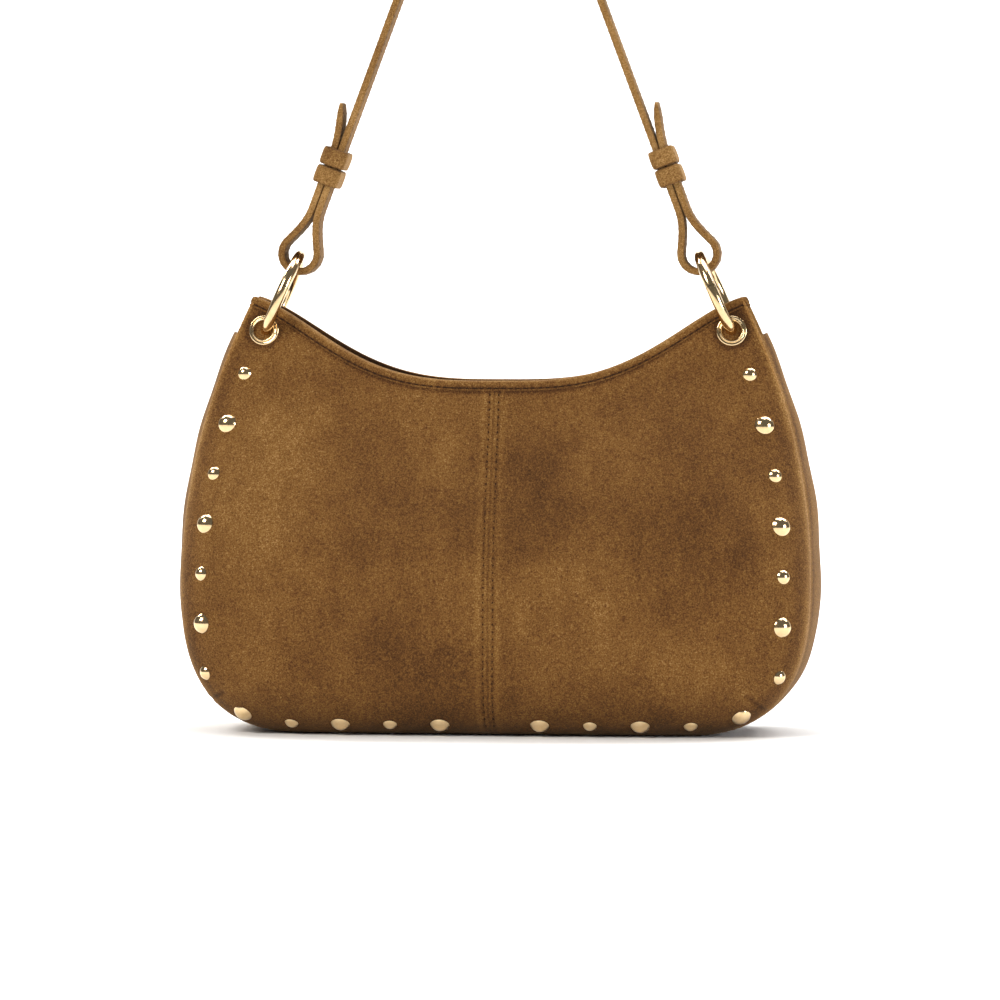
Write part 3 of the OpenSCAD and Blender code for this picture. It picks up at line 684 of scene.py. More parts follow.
@dataclass(frozen=True)
class BagForm:
    """Outside of the bag in millimetres over its base: half width and half depth at each height."""

    bag_w: float = 286.4
    ear_w: float = 222.0
    ear_h: float = 198.2
    rim_h: float = 158.6
    corner_h: float = 69.3
    base_w: float = 170.0
    base_d: float = 52.0
    ear_d: float = 16.4
    crown: float = 25.0
    ear_crown: float = 2.0
    side_roll: float = 60.0
    base_roll: float = 28.0
    gusset_h: float = 180.0
    gusset_bulge: float = 3.5
    corner_n: float = 2.6
    eyelet_inset: float = 4.4
    eyelet_drop: float = 16.3
    suede_t: float = 1.4
    facing_t: float = 0.9
    facing_h: float = 26.0
    lining_t: float = 0.5
    layer_gap: float = 0.2
    seam_gap: float = 0.3

    @property
    def eyelet(self) -> tuple[float, float]:
        """Place of the right eyelet in x and z, in from the ear tip and down from it."""
        return self.ear_w / 2 - self.eyelet_inset, self.ear_h - self.eyelet_drop

    def half_w(self, z: Array) -> Array:
        """Half width: a parabola above the corners, a superellipse below them."""
        z = np.asarray(z, float)
        fall = (self.bag_w - self.ear_w) / 2 / (self.ear_h - self.corner_h) ** 2
        high = self.bag_w / 2 - fall * (z - self.corner_h) ** 2
        down = np.clip((self.corner_h - z) / self.corner_h, 0, 1)
        low = (
            self.base_w / 2
            + (self.bag_w - self.base_w) / 2 * (1 - down**self.corner_n) ** (1 / self.corner_n)
        )
        return np.where(z >= self.corner_h, high, low)

    def seam_y(self, z: Array) -> Array:
        """Half depth at the side seam: straight lines between four heights."""
        heights = [0, self.corner_h, self.gusset_h, self.ear_h]
        return np.interp(
            z, heights, [self.base_d / 2, self.base_d / 2 - 4, self.ear_d / 2 + 1.3, self.ear_d / 2]
        )

    def half_d(self, x: Array, z: Array) -> Array:
        """Half depth: the seam's, plus a crown that rolls up from the side seam and from the base."""
        crown = (
            self.crown
            - (self.crown - self.ear_crown) * smooth((z - self.corner_h) / (self.ear_h - self.corner_h))
        )
        return (
            self.seam_y(z)
            + crown * roll((self.half_w(z) - np.abs(x)) / self.side_roll) * roll(z / self.base_roll)
        )

    def rim_z(self, x: Array) -> Array:
        """Height of the mouth's edge: it dips in the middle and rises smoothly to the ears."""
        t = np.minimum((np.abs(x) / (0.5405 * self.ear_w)) ** 1.7, 1)
        return self.rim_h + (self.ear_h - self.rim_h) * smooth(t)

    def face_top(self, u: Array) -> Array:
        """Height of the edge at share u of the width, found by eight rounds of putting the height back in."""
        share = np.sin(np.abs(u) * math.pi / 2)
        z = np.full_like(share, self.ear_h)
        for _ in range(8):
            z = self.rim_z(share * self.half_w(z))
        return z

    def face_point(self, u: Array, z: Array, depth: Array | float) -> Array:
        """Point of the front face or of a layer under it.

        The width's share is the sine of u quarter turns. A layer draws in square to the side seam, up from
        the base and back from the face by its depth.

        Args:
            u: From -1 at the left seam to 1 at the right seam.
            z: Height.
            depth: Depth under the face.

        Returns:
            Points, with the last axis x, y, z.
        """
        u, z, depth = np.broadcast_arrays(
            np.asarray(u, float), np.asarray(z, float), np.asarray(depth, float)
        )
        share = np.sin(u * math.pi / 2)
        e = 0.2
        rise = (self.half_w(z + e) - self.half_w(np.maximum(z - e, 0))) / (np.minimum(z, e) + e)
        long = np.sqrt(1 + rise * rise)
        edge = share**4
        x = share * (self.half_w(z) - depth / long)
        y = depth - self.half_d(share * self.half_w(z), z)
        up = z + depth * ((1 - edge) * (1 - roll(z / self.base_roll)) + edge * rise / long)
        return np.stack([x, y, up], -1)

    def normal(self, x: Array, z: Array) -> Array:
        """Outward normal of the front face, from central differences of the half depth."""
        e = 0.4
        dx = (self.half_d(x + e, z) - self.half_d(x - e, z)) / (2 * e)
        dz = (self.half_d(x, z + e) - self.half_d(x, np.maximum(z - e, 0))) / (2 * e)
        return unit(np.stack([-dx, -np.ones_like(dx), -dz], -1))


@dataclass(frozen=True)
class Slack:
    """How soft suede differs from its pattern: slow waves, and what the seams pull in."""

    form: BagForm
    seed: int
    wave_mm: float = 0.75
    seam_pitch: float = 3.3
    row_at: float = 2.15

    def waves(self, x: Array, z: Array) -> Array:
        """Sum of nine cosines with seeded directions and wavelengths from 38 to 130 mm."""
        rng = np.random.default_rng(self.seed)
        total = np.zeros(np.broadcast(x, z).shape)
        for length in np.linspace(38, 130, 9):
            a, phase = rng.uniform(0, math.pi), rng.uniform(0, 2 * math.pi)
            k = 2 * math.pi / length
            total += (length / 130) * np.cos(k * (x * math.cos(a) + z * math.sin(a)) + phase)
        return total / 2.6

    def free(self, x: Array, z: Array) -> Array:
        """1 where the wall is free to move, 0 near the seams, the rim, the studs and the eyelets."""
        f = self.form
        side = smooth((f.half_w(z) - np.abs(x) - 17) / 24)
        base = smooth((z - 14) / 22)
        rim = smooth((f.rim_z(x) - z - 5) / 14)
        r = np.hypot(np.abs(x) - f.eyelet[0], z - f.eyelet[1])
        return side * base * rim * smooth((r - 10) / 16)

    def dart(self, x: Array, z: Array) -> Array:
        """Distance from the short darts that take up the lower corners, one to each side."""
        p = np.stack(np.broadcast_arrays(x, z), -1)
        near = np.full(p.shape[:-1], 99.0)
        for a, b in (((115.6, 19.0), (125.0, 10.8)), ((-121.5, 18.5), (-130.0, 14.2))):
            foot, way = np.array(a), np.array(b) - np.array(a)
            t = np.clip((p - foot) @ way / (way @ way), 0, 1)
            near = np.minimum(near, np.linalg.norm(p - foot - t[..., None] * way, axis=-1))
        return near

    def relief(self, x: Array, z: Array) -> Array:
        """Height over the pattern: slow waves, the seam between two stitched grooves, and the darts."""
        f = self.form
        along = smooth((z - 2) / 8) * smooth((f.rim_z(x) - z - 1) / 6)
        away = np.abs(x)
        valley = (
            -0.12 * hump(x / 0.45) + 0.22 * hump((away - 1.1) / 0.8) - 0.3 * hump((away - self.row_at) / 0.7)
            + 0.3 * hump((away - 4.0) / 1.6)
        )
        pucker = (
            0.16
            * np.cos(2 * math.pi * (z - 4.5) / self.seam_pitch + math.pi)
            * hump((away - self.row_at) / 1.1)
        )
        d = self.dart(x, z)
        dart = -0.5 * hump(d / 0.8) + 0.22 * hump((d - 1.9) / 1.1)
        return self.wave_mm * self.waves(x, z) * self.free(x, z) + along * (valley + pucker) + dart

    def skin(self, u: Array, z: Array, wall: Wall) -> Array:
        """Points of the finished face: the pattern's point moved along its normal by the relief."""
        p = self.form.face_point(u, z, 0.0)
        x, height = p[..., 0], np.broadcast_to(z, p.shape[:-1])
        p = p + self.form.normal(x, height) * self.relief(x, height)[..., None]
        return on_wall(p, wall)


def on_wall(points: Array, wall: Wall) -> Array:
    """Front-wall points as they are, or mirrored to the back wall."""
    return points * np.array([1.0, float(-wall.value), 1.0])


def outline(form: BagForm, top: float, step: float = 1.0) -> Array:
    """Side seam's outline in x and z, from the left top round the base to the right top.

    Args:
        form: The bag's form.
        top: Height at which it starts and ends.
        step: Distance between points.

    Returns:
        Points evenly spread along it.
    """
    turn = np.linspace(0, math.pi / 2, 240)[1:]
    corner = form.corner_h * (1 - np.sin(turn) ** (2 / form.corner_n))
    z = np.concatenate([np.linspace(top, form.corner_h, 120), corner])
    right = np.stack([form.half_w(z), z], -1)
    base = np.stack([np.linspace(form.base_w / 2, 0, 60)[1:], np.zeros(59)], -1)
    half = np.concatenate([right, base])
    line = np.concatenate([half * [-1, 1], half[-2::-1]])
    return spread(line, step)


def spread(line: Array, step: float) -> Array:
    """The same line with its points evenly spread, about a step apart."""
    s = np.concatenate([[0], np.cumsum(np.linalg.norm(np.diff(line, axis=0), axis=1))])
    keep = np.concatenate([[True], np.diff(s) > 1e-9])
    at = np.linspace(0, s[-1], max(int(round(s[-1] / step)), 2) + 1)
    return np.stack([np.interp(at, s[keep], line[keep, k]) for k in range(line.shape[1])], -1)


def lengths(line: Array) -> Array:
    """Distance along a line at each of its points."""
    return np.concatenate([[0], np.cumsum(np.linalg.norm(np.diff(line, axis=0), axis=1))])


def stitches(at: Array, along: Array, out: Array, length: float, radius: float, sink: float = 0.1) -> Surface:
    """A row of stitches: one small capsule copied to each place.

    The capsule is a half sine of radius along its length, six-sided, flattened to two thirds of its height.

    Args:
        at: Middle of each stitch.
        along: Direction of the thread.
        out: Outward normal.
        length: Stitch length.
        radius: Thread radius.
        sink: How far the ends go down into the material.

    Returns:
        One surface of all of them.
    """
    t = np.linspace(0, 1, 6)[:, None]
    a = np.linspace(0, 2 * math.pi, 6, endpoint=False)[None, :]
    r = radius * np.maximum(np.sin(math.pi * t), 0.16) ** 0.5
    body = np.stack(
        np.broadcast_arrays(
            (t - 0.5) * length, r * np.cos(a), r * 0.67 * np.sin(a) - sink * (2 * t - 1) ** 2 * 2
        ),
        -1
    )
    one = tube(body)
    along, out = unit(along), unit(out)
    side = unit(np.cross(out, along))
    out = np.cross(along, side)
    axes = np.stack([along, side, out], 1)
    points = at[:, None, :] + np.einsum("pk,nkc->npc", one.points, axes)
    n, m = len(at), len(one.points)
    step = (np.arange(n) * m)[:, None, None]
    caps = np.array(
        [[c[0], c[1], c[2], c[3]] for c in one.caps] + [[c[0], c[3], c[4], c[5]] for c in one.caps]
    )
    faces = np.concatenate([one.faces, caps])
    return Surface(points.reshape(-1, 3), (faces[None] + step).reshape(-1, 4))


# ---------------------------------------------------------------- sub-assemblies


@dataclass
class Shell:
    """The suede outside: four panels, the gusset between them, turned edges, the binding and the seams."""

    place: Place
    form: BagForm
    wear: Wardrobe
    pitch: float = 3.3
    binding_h: float = 3.6
    welt_r: float = 0.8

    def slack(self, wall: Wall) -> Slack:
        """The wall's own softness."""
        return Slack(self.form, 11 if wall is Wall.FRONT else 29)

    def tones(self, x: Array, z: Array) -> dict[str, Array]:
        """Wear with a painted highlight, and painted shade, of a panel, each from 0 to 1, by distance from
        seams, rim and hardware.
        """
        f = self.form
        slack = self.slack(Wall.FRONT)
        side = f.half_w(z) - np.abs(x)
        away = np.abs(x)
        # Lighter at the side seam, beside the centre seam and on the darts' ridges: rubbed nap with a painted
        # highlight.
        wear_and_highlight = (
            0.5 * hump(side / 2.0) + 0.3 * hump((away - 1.1) / 0.7) + 0.28 * hump((away - 4.2) / 1.7)
            + 0.2 * hump((slack.dart(x, z) - 1.9) / 1.0)
        )
        # Painted shade: in the centre seam and its stitch rows, darker towards the base, in the groove under
        # the binding, in the darts, beside the side seam, and in a ring round each eyelet below.
        shaded = (
            0.12 * hump(x / 0.4) + 0.2 * hump((away - slack.row_at) / 0.7) + 0.3 * (1 - smooth(z / 34))
            + 0.4 * (1 - smooth(z / 8))
        )
        shaded = (
            shaded + 0.6 * hump((f.rim_z(x) - z - 4.2) / 1.1) + 0.6 * hump(slack.dart(x, z) / 0.8)
            + 0.2 * hump((side - 5) / 3)
        )
        r = np.hypot(np.abs(x) - f.eyelet[0], z - f.eyelet[1])
        return {"wear_and_highlight": np.clip(wear_and_highlight, 0, 1), "shaded": np.clip(shaded + 0.5 * hump((r - 7.4) / 1.6), 0, 1)}

    def panel(self, wall: Wall, hand: Hand) -> bpy.types.Object:
        """One half of a wall: its finished skin over its flesh side, a suede thickness below."""
        f, slack = self.form, self.slack(wall)
        u = np.concatenate([np.linspace(0.00005, 0.055, 26)[:-1], np.linspace(0.055, 1, 84)]) * hand.value
        j = np.linspace(0, 1, 190)
        low = 0.6
        share = np.where(
            j < low, 0.7 * (1 - np.cos(j / low * math.pi / 2)), 0.7 + 0.3 * (j - low) / (1 - low)
        )
        z = f.face_top(u)[:, None] * share[None, :]
        u = np.broadcast_to(u[:, None], z.shape)
        outer = slack.skin(u, z, wall)
        flat = f.face_point(u, z, 0.0)
        x = flat[..., 0]
        lift = slack.wave_mm * slack.waves(x, z) * slack.free(x, z)
        inner = on_wall(f.face_point(u, z, f.suede_t) + f.normal(x, z) * lift[..., None], wall)
        across = np.concatenate(
            [np.zeros((1, z.shape[1])), np.cumsum(np.linalg.norm(np.diff(flat, axis=0), axis=-1), 0)]
        )
        uv = np.stack([across * hand.value, z], -1)
        name = f"{wall.name}_panel_{hand.name}".lower()
        shape = sheet(outer, inner, uv, self.tones(x, z))
        return self.place.piece(f"{name}_suede", shape, self.wear.suede, "bag", Slot.SUEDE, [name])

    def gusset(self) -> bpy.types.Object:
        """The strip between the walls: the outline pushed out by a bulge that is nil at both seams."""
        f = self.form
        line = outline(f, f.gusset_h)
        along = np.gradient(line, axis=0)
        n = unit(np.stack([along[:, 1], -along[:, 0]], -1))
        t = np.linspace(1, -1, 33)[None, :]
        bulge = (
            f.gusset_bulge
            * np.interp(line[:, 1], [0, f.corner_h * 0.7, f.corner_h * 1.6, f.gusset_h], [0, 0.85, 1, 0.75])
        )
        s = lengths(line)
        ripple = 0.28 * np.sin(s * 2 * math.pi / 37)[:, None] * smooth((line[:, 1:] - 6) / 20) * (1 - t * t)

        def layer(depth: float) -> Array:
            """Grid of the strip at a depth below its outside."""
            half = (f.seam_y(line[:, 1]) - f.seam_gap - depth)[:, None]
            out = bulge[:, None] * (1 - t * t) + ripple - depth
            return np.stack([line[:, :1] + n[:, :1] * out, t * half, line[:, 1:] + n[:, 1:] * out], -1)

        width = t * f.seam_y(line[:, 1])[:, None]
        uv = np.stack([np.broadcast_to(s[:, None], width.shape), width], -1)
        near = f.seam_y(line[:, 1])[:, None] - np.abs(width)
        # Lighter next to the seams: rubbed nap with a painted highlight. Painted shade in a band in from the
        # seams and darker towards the base.
        paint = {
            "wear_and_highlight": 0.5 * hump(near / 1.6),
            "shaded": 0.45 * hump((near - 3.6) / 1.8) + 0.4 * hump((line[:, 1:] - 2) / 8)
        }
        return self.place.piece(
            "gusset_suede", sheet(layer(0), layer(f.suede_t), uv, paint), self.wear.suede, "bag", Slot.SUEDE,
            ["gusset"]
        )

    def welt(self, wall: Wall) -> bpy.types.Object:
        """Turned edge along the side seam: a thin round carried just inside the panel's outline."""
        f, r = self.form, self.welt_r
        line = outline(f, f.ear_h - 1.0, 0.8)
        along = np.gradient(line, axis=0)
        n = unit(np.stack([along[:, 1], -along[:, 0]], -1))
        s = lengths(line)
        swell = r * (1 + 0.07 * np.cos(2 * math.pi * s / self.pitch))[:, None]
        centre = np.stack(
            [line[:, 0] - n[:, 0] * r, -f.seam_y(line[:, 1]) - 0.3, line[:, 1] - n[:, 1] * r], -1
        )
        out = np.stack([n[:, 0], np.zeros(len(n)), n[:, 1]], -1)
        a = np.linspace(0, 2 * math.pi, 12, endpoint=False)
        ring = (
            np.cos(a)[None, :, None] * out[:, None, :] + np.sin(a)[None, :, None] * np.array([0.0, 1.0, 0.0])
        )
        grid = on_wall(centre[:, None, :] + swell[..., None] * ring, wall)
        # Its lighter finish and the small lift of tone are a painted highlight along the rounded edge.
        shape = tube(grid, paint={"wear_and_highlight": np.full((1, 1), 0.15), "shaded": np.zeros((1, 1))})
        return self.place.piece(f"{wall.name.lower()}_seam_edge", shape, self.wear.edge, "bag", Slot.SUEDE)

    def binding(self, wall: Wall) -> bpy.types.Object:
        """Strip folded over the mouth: a rounded channel carried along the edge, pinched at each stitch."""
        f = self.form
        u = np.linspace(-1, 1, 431)
        top = f.face_top(u)
        s = lengths(f.face_point(u, top, 0.0))
        inside = f.suede_t + f.layer_gap + f.facing_t + f.layer_gap
        a = np.linspace(0, math.pi, 13)
        mid, half = inside / 2, inside / 2 + 0.5
        over = np.stack([mid - half * np.cos(a), 0.2 - 1.0 * np.sin(a)], -1)
        h = self.binding_h
        outer_leg = np.array(
            [
                [-0.05, h], [-0.3, h + 0.1], [-0.5, h - 0.35],
                [-0.22, h - 0.9], [-0.5, h - 1.4], [-0.6, h - 2.2],
            ]
        )
        inner_leg = np.array(
            [
                [inside + 0.55, h - 2.2], [inside + 0.6, h - 1.2], [inside + 0.55, h],
                [inside + 0.1, h], [inside + 0.1, 0.3], [-0.05, 0.3],
            ]
        )
        loop = np.concatenate([outer_leg, over, inner_leg])
        pinch = 0.16 * (0.5 + 0.5 * np.cos(2 * math.pi * s / self.pitch))[:, None]
        held = hump((loop[:, 1] - h + 0.9) / 1.2)[None, :] * (loop[:, 0] < 0)[None, :]
        depth = loop[None, :, 0] + pinch * held
        grid = on_wall(f.face_point(u[:, None], top[:, None] - loop[None, :, 1], depth), wall)
        # Lighter along the crest of the fold: rubbed nap with a painted highlight. Painted shade in the
        # stitch groove and over the whole inner leg, down inside the mouth.
        wear_and_highlight = 0.4 * hump((loop[:, 1] + 0.6) / 0.9) * (loop[:, 0] < inside)
        shaded = 0.9 * hump((loop[:, 1] - h + 0.9) / 0.45) * (loop[:, 0] < 0) + 0.9 * (loop[:, 0] > inside)
        shape = tube(
            grid,
            paint={
                "wear_and_highlight": np.broadcast_to(wear_and_highlight[None], grid.shape[:2]),
                "shaded": np.broadcast_to(shaded[None], grid.shape[:2])
            }
        )
        name = f"{wall.name.lower()}_binding"
        return self.place.piece(f"{name}_suede", shape, self.wear.suede, "bag", Slot.SUEDE, [name])

    def rim_stitches(self, wall: Wall) -> bpy.types.Object:
        """Stitches in the binding's groove, one to each pinch."""
        f = self.form
        fine = np.linspace(-0.985, 0.985, 4000)
        s = lengths(f.face_point(fine, f.face_top(fine), 0.0))
        u = np.interp(np.arange(self.pitch, s[-1], self.pitch), s, fine)
        drop = self.binding_h - 0.9

        def groove(v: Array) -> Array:
            """Bottom of the groove."""
            return f.face_point(v, f.face_top(v) - drop, -0.26)

        e = 0.002
        along = groove(u + e) - groove(u - e)
        x = groove(u)[:, 0]
        out = f.normal(x, f.face_top(u) - drop)
        shape = stitches(on_wall(groove(u), wall), on_wall(along, wall), on_wall(out, wall), 2.6, 0.34)
        return self.place.piece(
            f"{wall.name.lower()}_rim_stitches", shape, self.wear.thread, "bag", Slot.SUEDE
        )

    def seam_stitches(self, wall: Wall) -> bpy.types.Object:
        """Twin rows of stitches beside the centre seam."""
        f, slack = self.form, self.slack(wall)
        z = np.arange(4.5, f.rim_h - 5.5, self.pitch)
        rows = []
        for side in (-1, 1):
            u = np.full_like(z, side * math.asin(slack.row_at / (f.bag_w / 2)) / (math.pi / 2))
            at = slack.skin(u, z, wall)
            along = slack.skin(u, z + 0.4, wall) - slack.skin(u, z - 0.4, wall)
            rows.append(stitches(at, along, on_wall(f.normal(at[:, 0], z), wall), 1.9, 0.42, 0.12))
        return self.place.piece(
            f"{wall.name.lower()}_centre_stitches", rows_of(rows), self.wear.thread, "bag", Slot.SUEDE
        )

    def build(self) -> None:
        """Makes every piece of the shell."""
        for wall in Wall:
            for hand in Hand:
                self.panel(wall, hand)
            self.welt(wall)
            self.binding(wall)
            self.rim_stitches(wall)
            self.seam_stitches(wall)
        self.gusset()


@dataclass
class Inside:
    """What shows through the mouth: facings, lining, the zip pocket's patch and tape, and the base board."""

    place: Place
    form: BagForm
    wear: Wardrobe
    lap: float = 3.0
    pocket_w: float = 140.0
    pocket_low: float = 62.0
    zip_h: float = 122.0
    tape_w: float = 14.0

    def band(
        self, name: str, wall: Wall, low: Array, high: Array, depth: float, thick: float, crease: float
    ) -> Surface:
        """Closed sheet of the face between two heights at a depth, with creases that only go inwards.

        Args:
            name: Used to seed the creases.
            wall: Wall it lies on.
            low: Lower height per column.
            high: Upper height per column.
            depth: Depth of its outside under the face.
            thick: Its thickness.
            crease: Height of the creases.

        Returns:
            The closed surface.
        """
        f = self.form
        u = np.linspace(-1, 1, 101)
        t = np.linspace(0, 1, 60)
        # Rows crowd towards the base, where a wall rolls under. A band that starts higher up has even rows.
        share = 1 - np.cos(t * math.pi / 2) if low.max() < 1 else t
        z = low[:, None] + (high - low)[:, None] * share[None, :]
        flat = f.face_point(u[:, None], z, depth)
        fold = Slack(f, len(name) * 7 + (wall is Wall.BACK))
        lift = crease * (0.5 + 0.5 * fold.waves(flat[..., 0] * 2.2, z * 2.2)) * fold.free(flat[..., 0], z)
        inner = f.face_point(u[:, None], z, depth + thick + np.clip(lift, 0, None))
        across = np.concatenate(
            [np.zeros((1, z.shape[1])), np.cumsum(np.linalg.norm(np.diff(flat, axis=0), axis=-1), 0)]
        )
        return sheet(on_wall(flat, wall), on_wall(inner, wall), np.stack([across, z], -1))

    def walls(self, wall: Wall) -> None:
        """Facing and lining of one wall."""
        f = self.form
        u = np.linspace(-1, 1, 101)
        top = f.face_top(u)
        facing_at = f.suede_t + f.layer_gap
        lining_at = facing_at + f.facing_t + f.layer_gap
        side = wall.name.lower()
        shape = self.band("facing", wall, top - f.facing_h, top - 0.4, facing_at, f.facing_t, 0.0)
        self.place.piece(
            f"{side}_facing_leather", shape, self.wear.facing, "bag", Slot.LEATHER, [f"{side}_facing"]
        )
        crease = 0.9 if wall is Wall.FRONT else 0.25
        shape = self.band(
            "lining", wall, np.zeros_like(u), top - f.facing_h + self.lap, lining_at, f.lining_t, crease
        )
        self.place.piece(
            f"{side}_lining_cloth", shape, self.wear.lining, "bag", Slot.LINING, [f"{side}_lining"]
        )

    def gusset_lining(self) -> None:
        """Lining of the gusset: the same strip as the gusset's, deeper."""
        f = self.form
        line = outline(f, f.gusset_h, 2.0)
        along = np.gradient(line, axis=0)
        n = unit(np.stack([along[:, 1], -along[:, 0]], -1))
        t = np.linspace(1, -1, 17)[None, :]
        bulge = (
            f.gusset_bulge
            * np.interp(line[:, 1], [0, f.corner_h * 0.7, f.corner_h * 1.6, f.gusset_h], [0, 0.85, 1, 0.75])
        )
        at = f.suede_t + f.layer_gap + f.facing_t + f.layer_gap

        def layer(depth: float) -> Array:
            """Grid of the strip at a depth below the gusset's outside."""
            half = (f.seam_y(line[:, 1]) - f.seam_gap - depth)[:, None]
            out = bulge[:, None] * (1 - t * t) - depth
            return np.stack([line[:, :1] + n[:, :1] * out, t * half, line[:, 1:] + n[:, 1:] * out], -1)

        s = np.broadcast_to(lengths(line)[:, None], (len(line), 17))
        uv = np.stack([s, np.broadcast_to(t * 20, s.shape)], -1)
        shape = sheet(layer(at), layer(at + f.lining_t), uv)
        self.place.piece(
            "gusset_lining_cloth", shape, self.wear.lining, "bag", Slot.LINING, ["gusset_lining"]
        )

    def on_back(self, x: Array, z: Array, depth: Array | float) -> Array:
        """Point on the inside of the back wall's flat middle, its depth measured square to the wall."""
        f = self.form
        zero = np.zeros_like(z)
        slope = np.arctan((f.half_d(zero, z + 1) - f.half_d(zero, z - 1)) / 2)
        return np.stack(
            np.broadcast_arrays(x, f.half_d(zero, z) - depth * np.cos(slope), z + depth * np.sin(slope)), -1
        )

    def pocket(self) -> None:
        """Patch and zip tape, each a sheet on the back wall with its edges drawn down."""
        f = self.form
        depth = f.suede_t + f.facing_t + f.lining_t + 2 * f.layer_gap + 0.4
        zip_low = self.zip_h - self.tape_w / 2
        x = np.linspace(-self.pocket_w / 2, self.pocket_w / 2, 80)[:, None]
        for name, low, high, thick, mat, slot in (
            ("pocket_patch", self.pocket_low, zip_low - f.seam_gap, 0.6, self.wear.lining, Slot.LINING),
            ("pocket_zip_tape", zip_low, zip_low + self.tape_w, 0.4, self.wear.tape, Slot.TAPE),
        ):
            z = np.linspace(low, high, 40)[None, :]
            edge = np.minimum(np.minimum(self.pocket_w / 2 - np.abs(x), z - low), high - z)
            puff = thick * (0.55 + 0.45 * smooth(edge / 1.4)) * np.ones_like(z)
            x2, z2 = np.broadcast_arrays(x, z)
            shape = sheet(
                self.on_back(x2, z2, depth + puff), self.on_back(x2, z2, depth), np.stack([x2, z2], -1)
            )
            self.place.piece(f"{name}_cloth", shape, mat, "bag", slot, [name])

    def build(self) -> None:
        """Makes every piece of the inside."""
        for wall in Wall:
            self.walls(wall)
        self.gusset_lining()
        self.pocket()
        dress(["base_board"], self.wear.board)


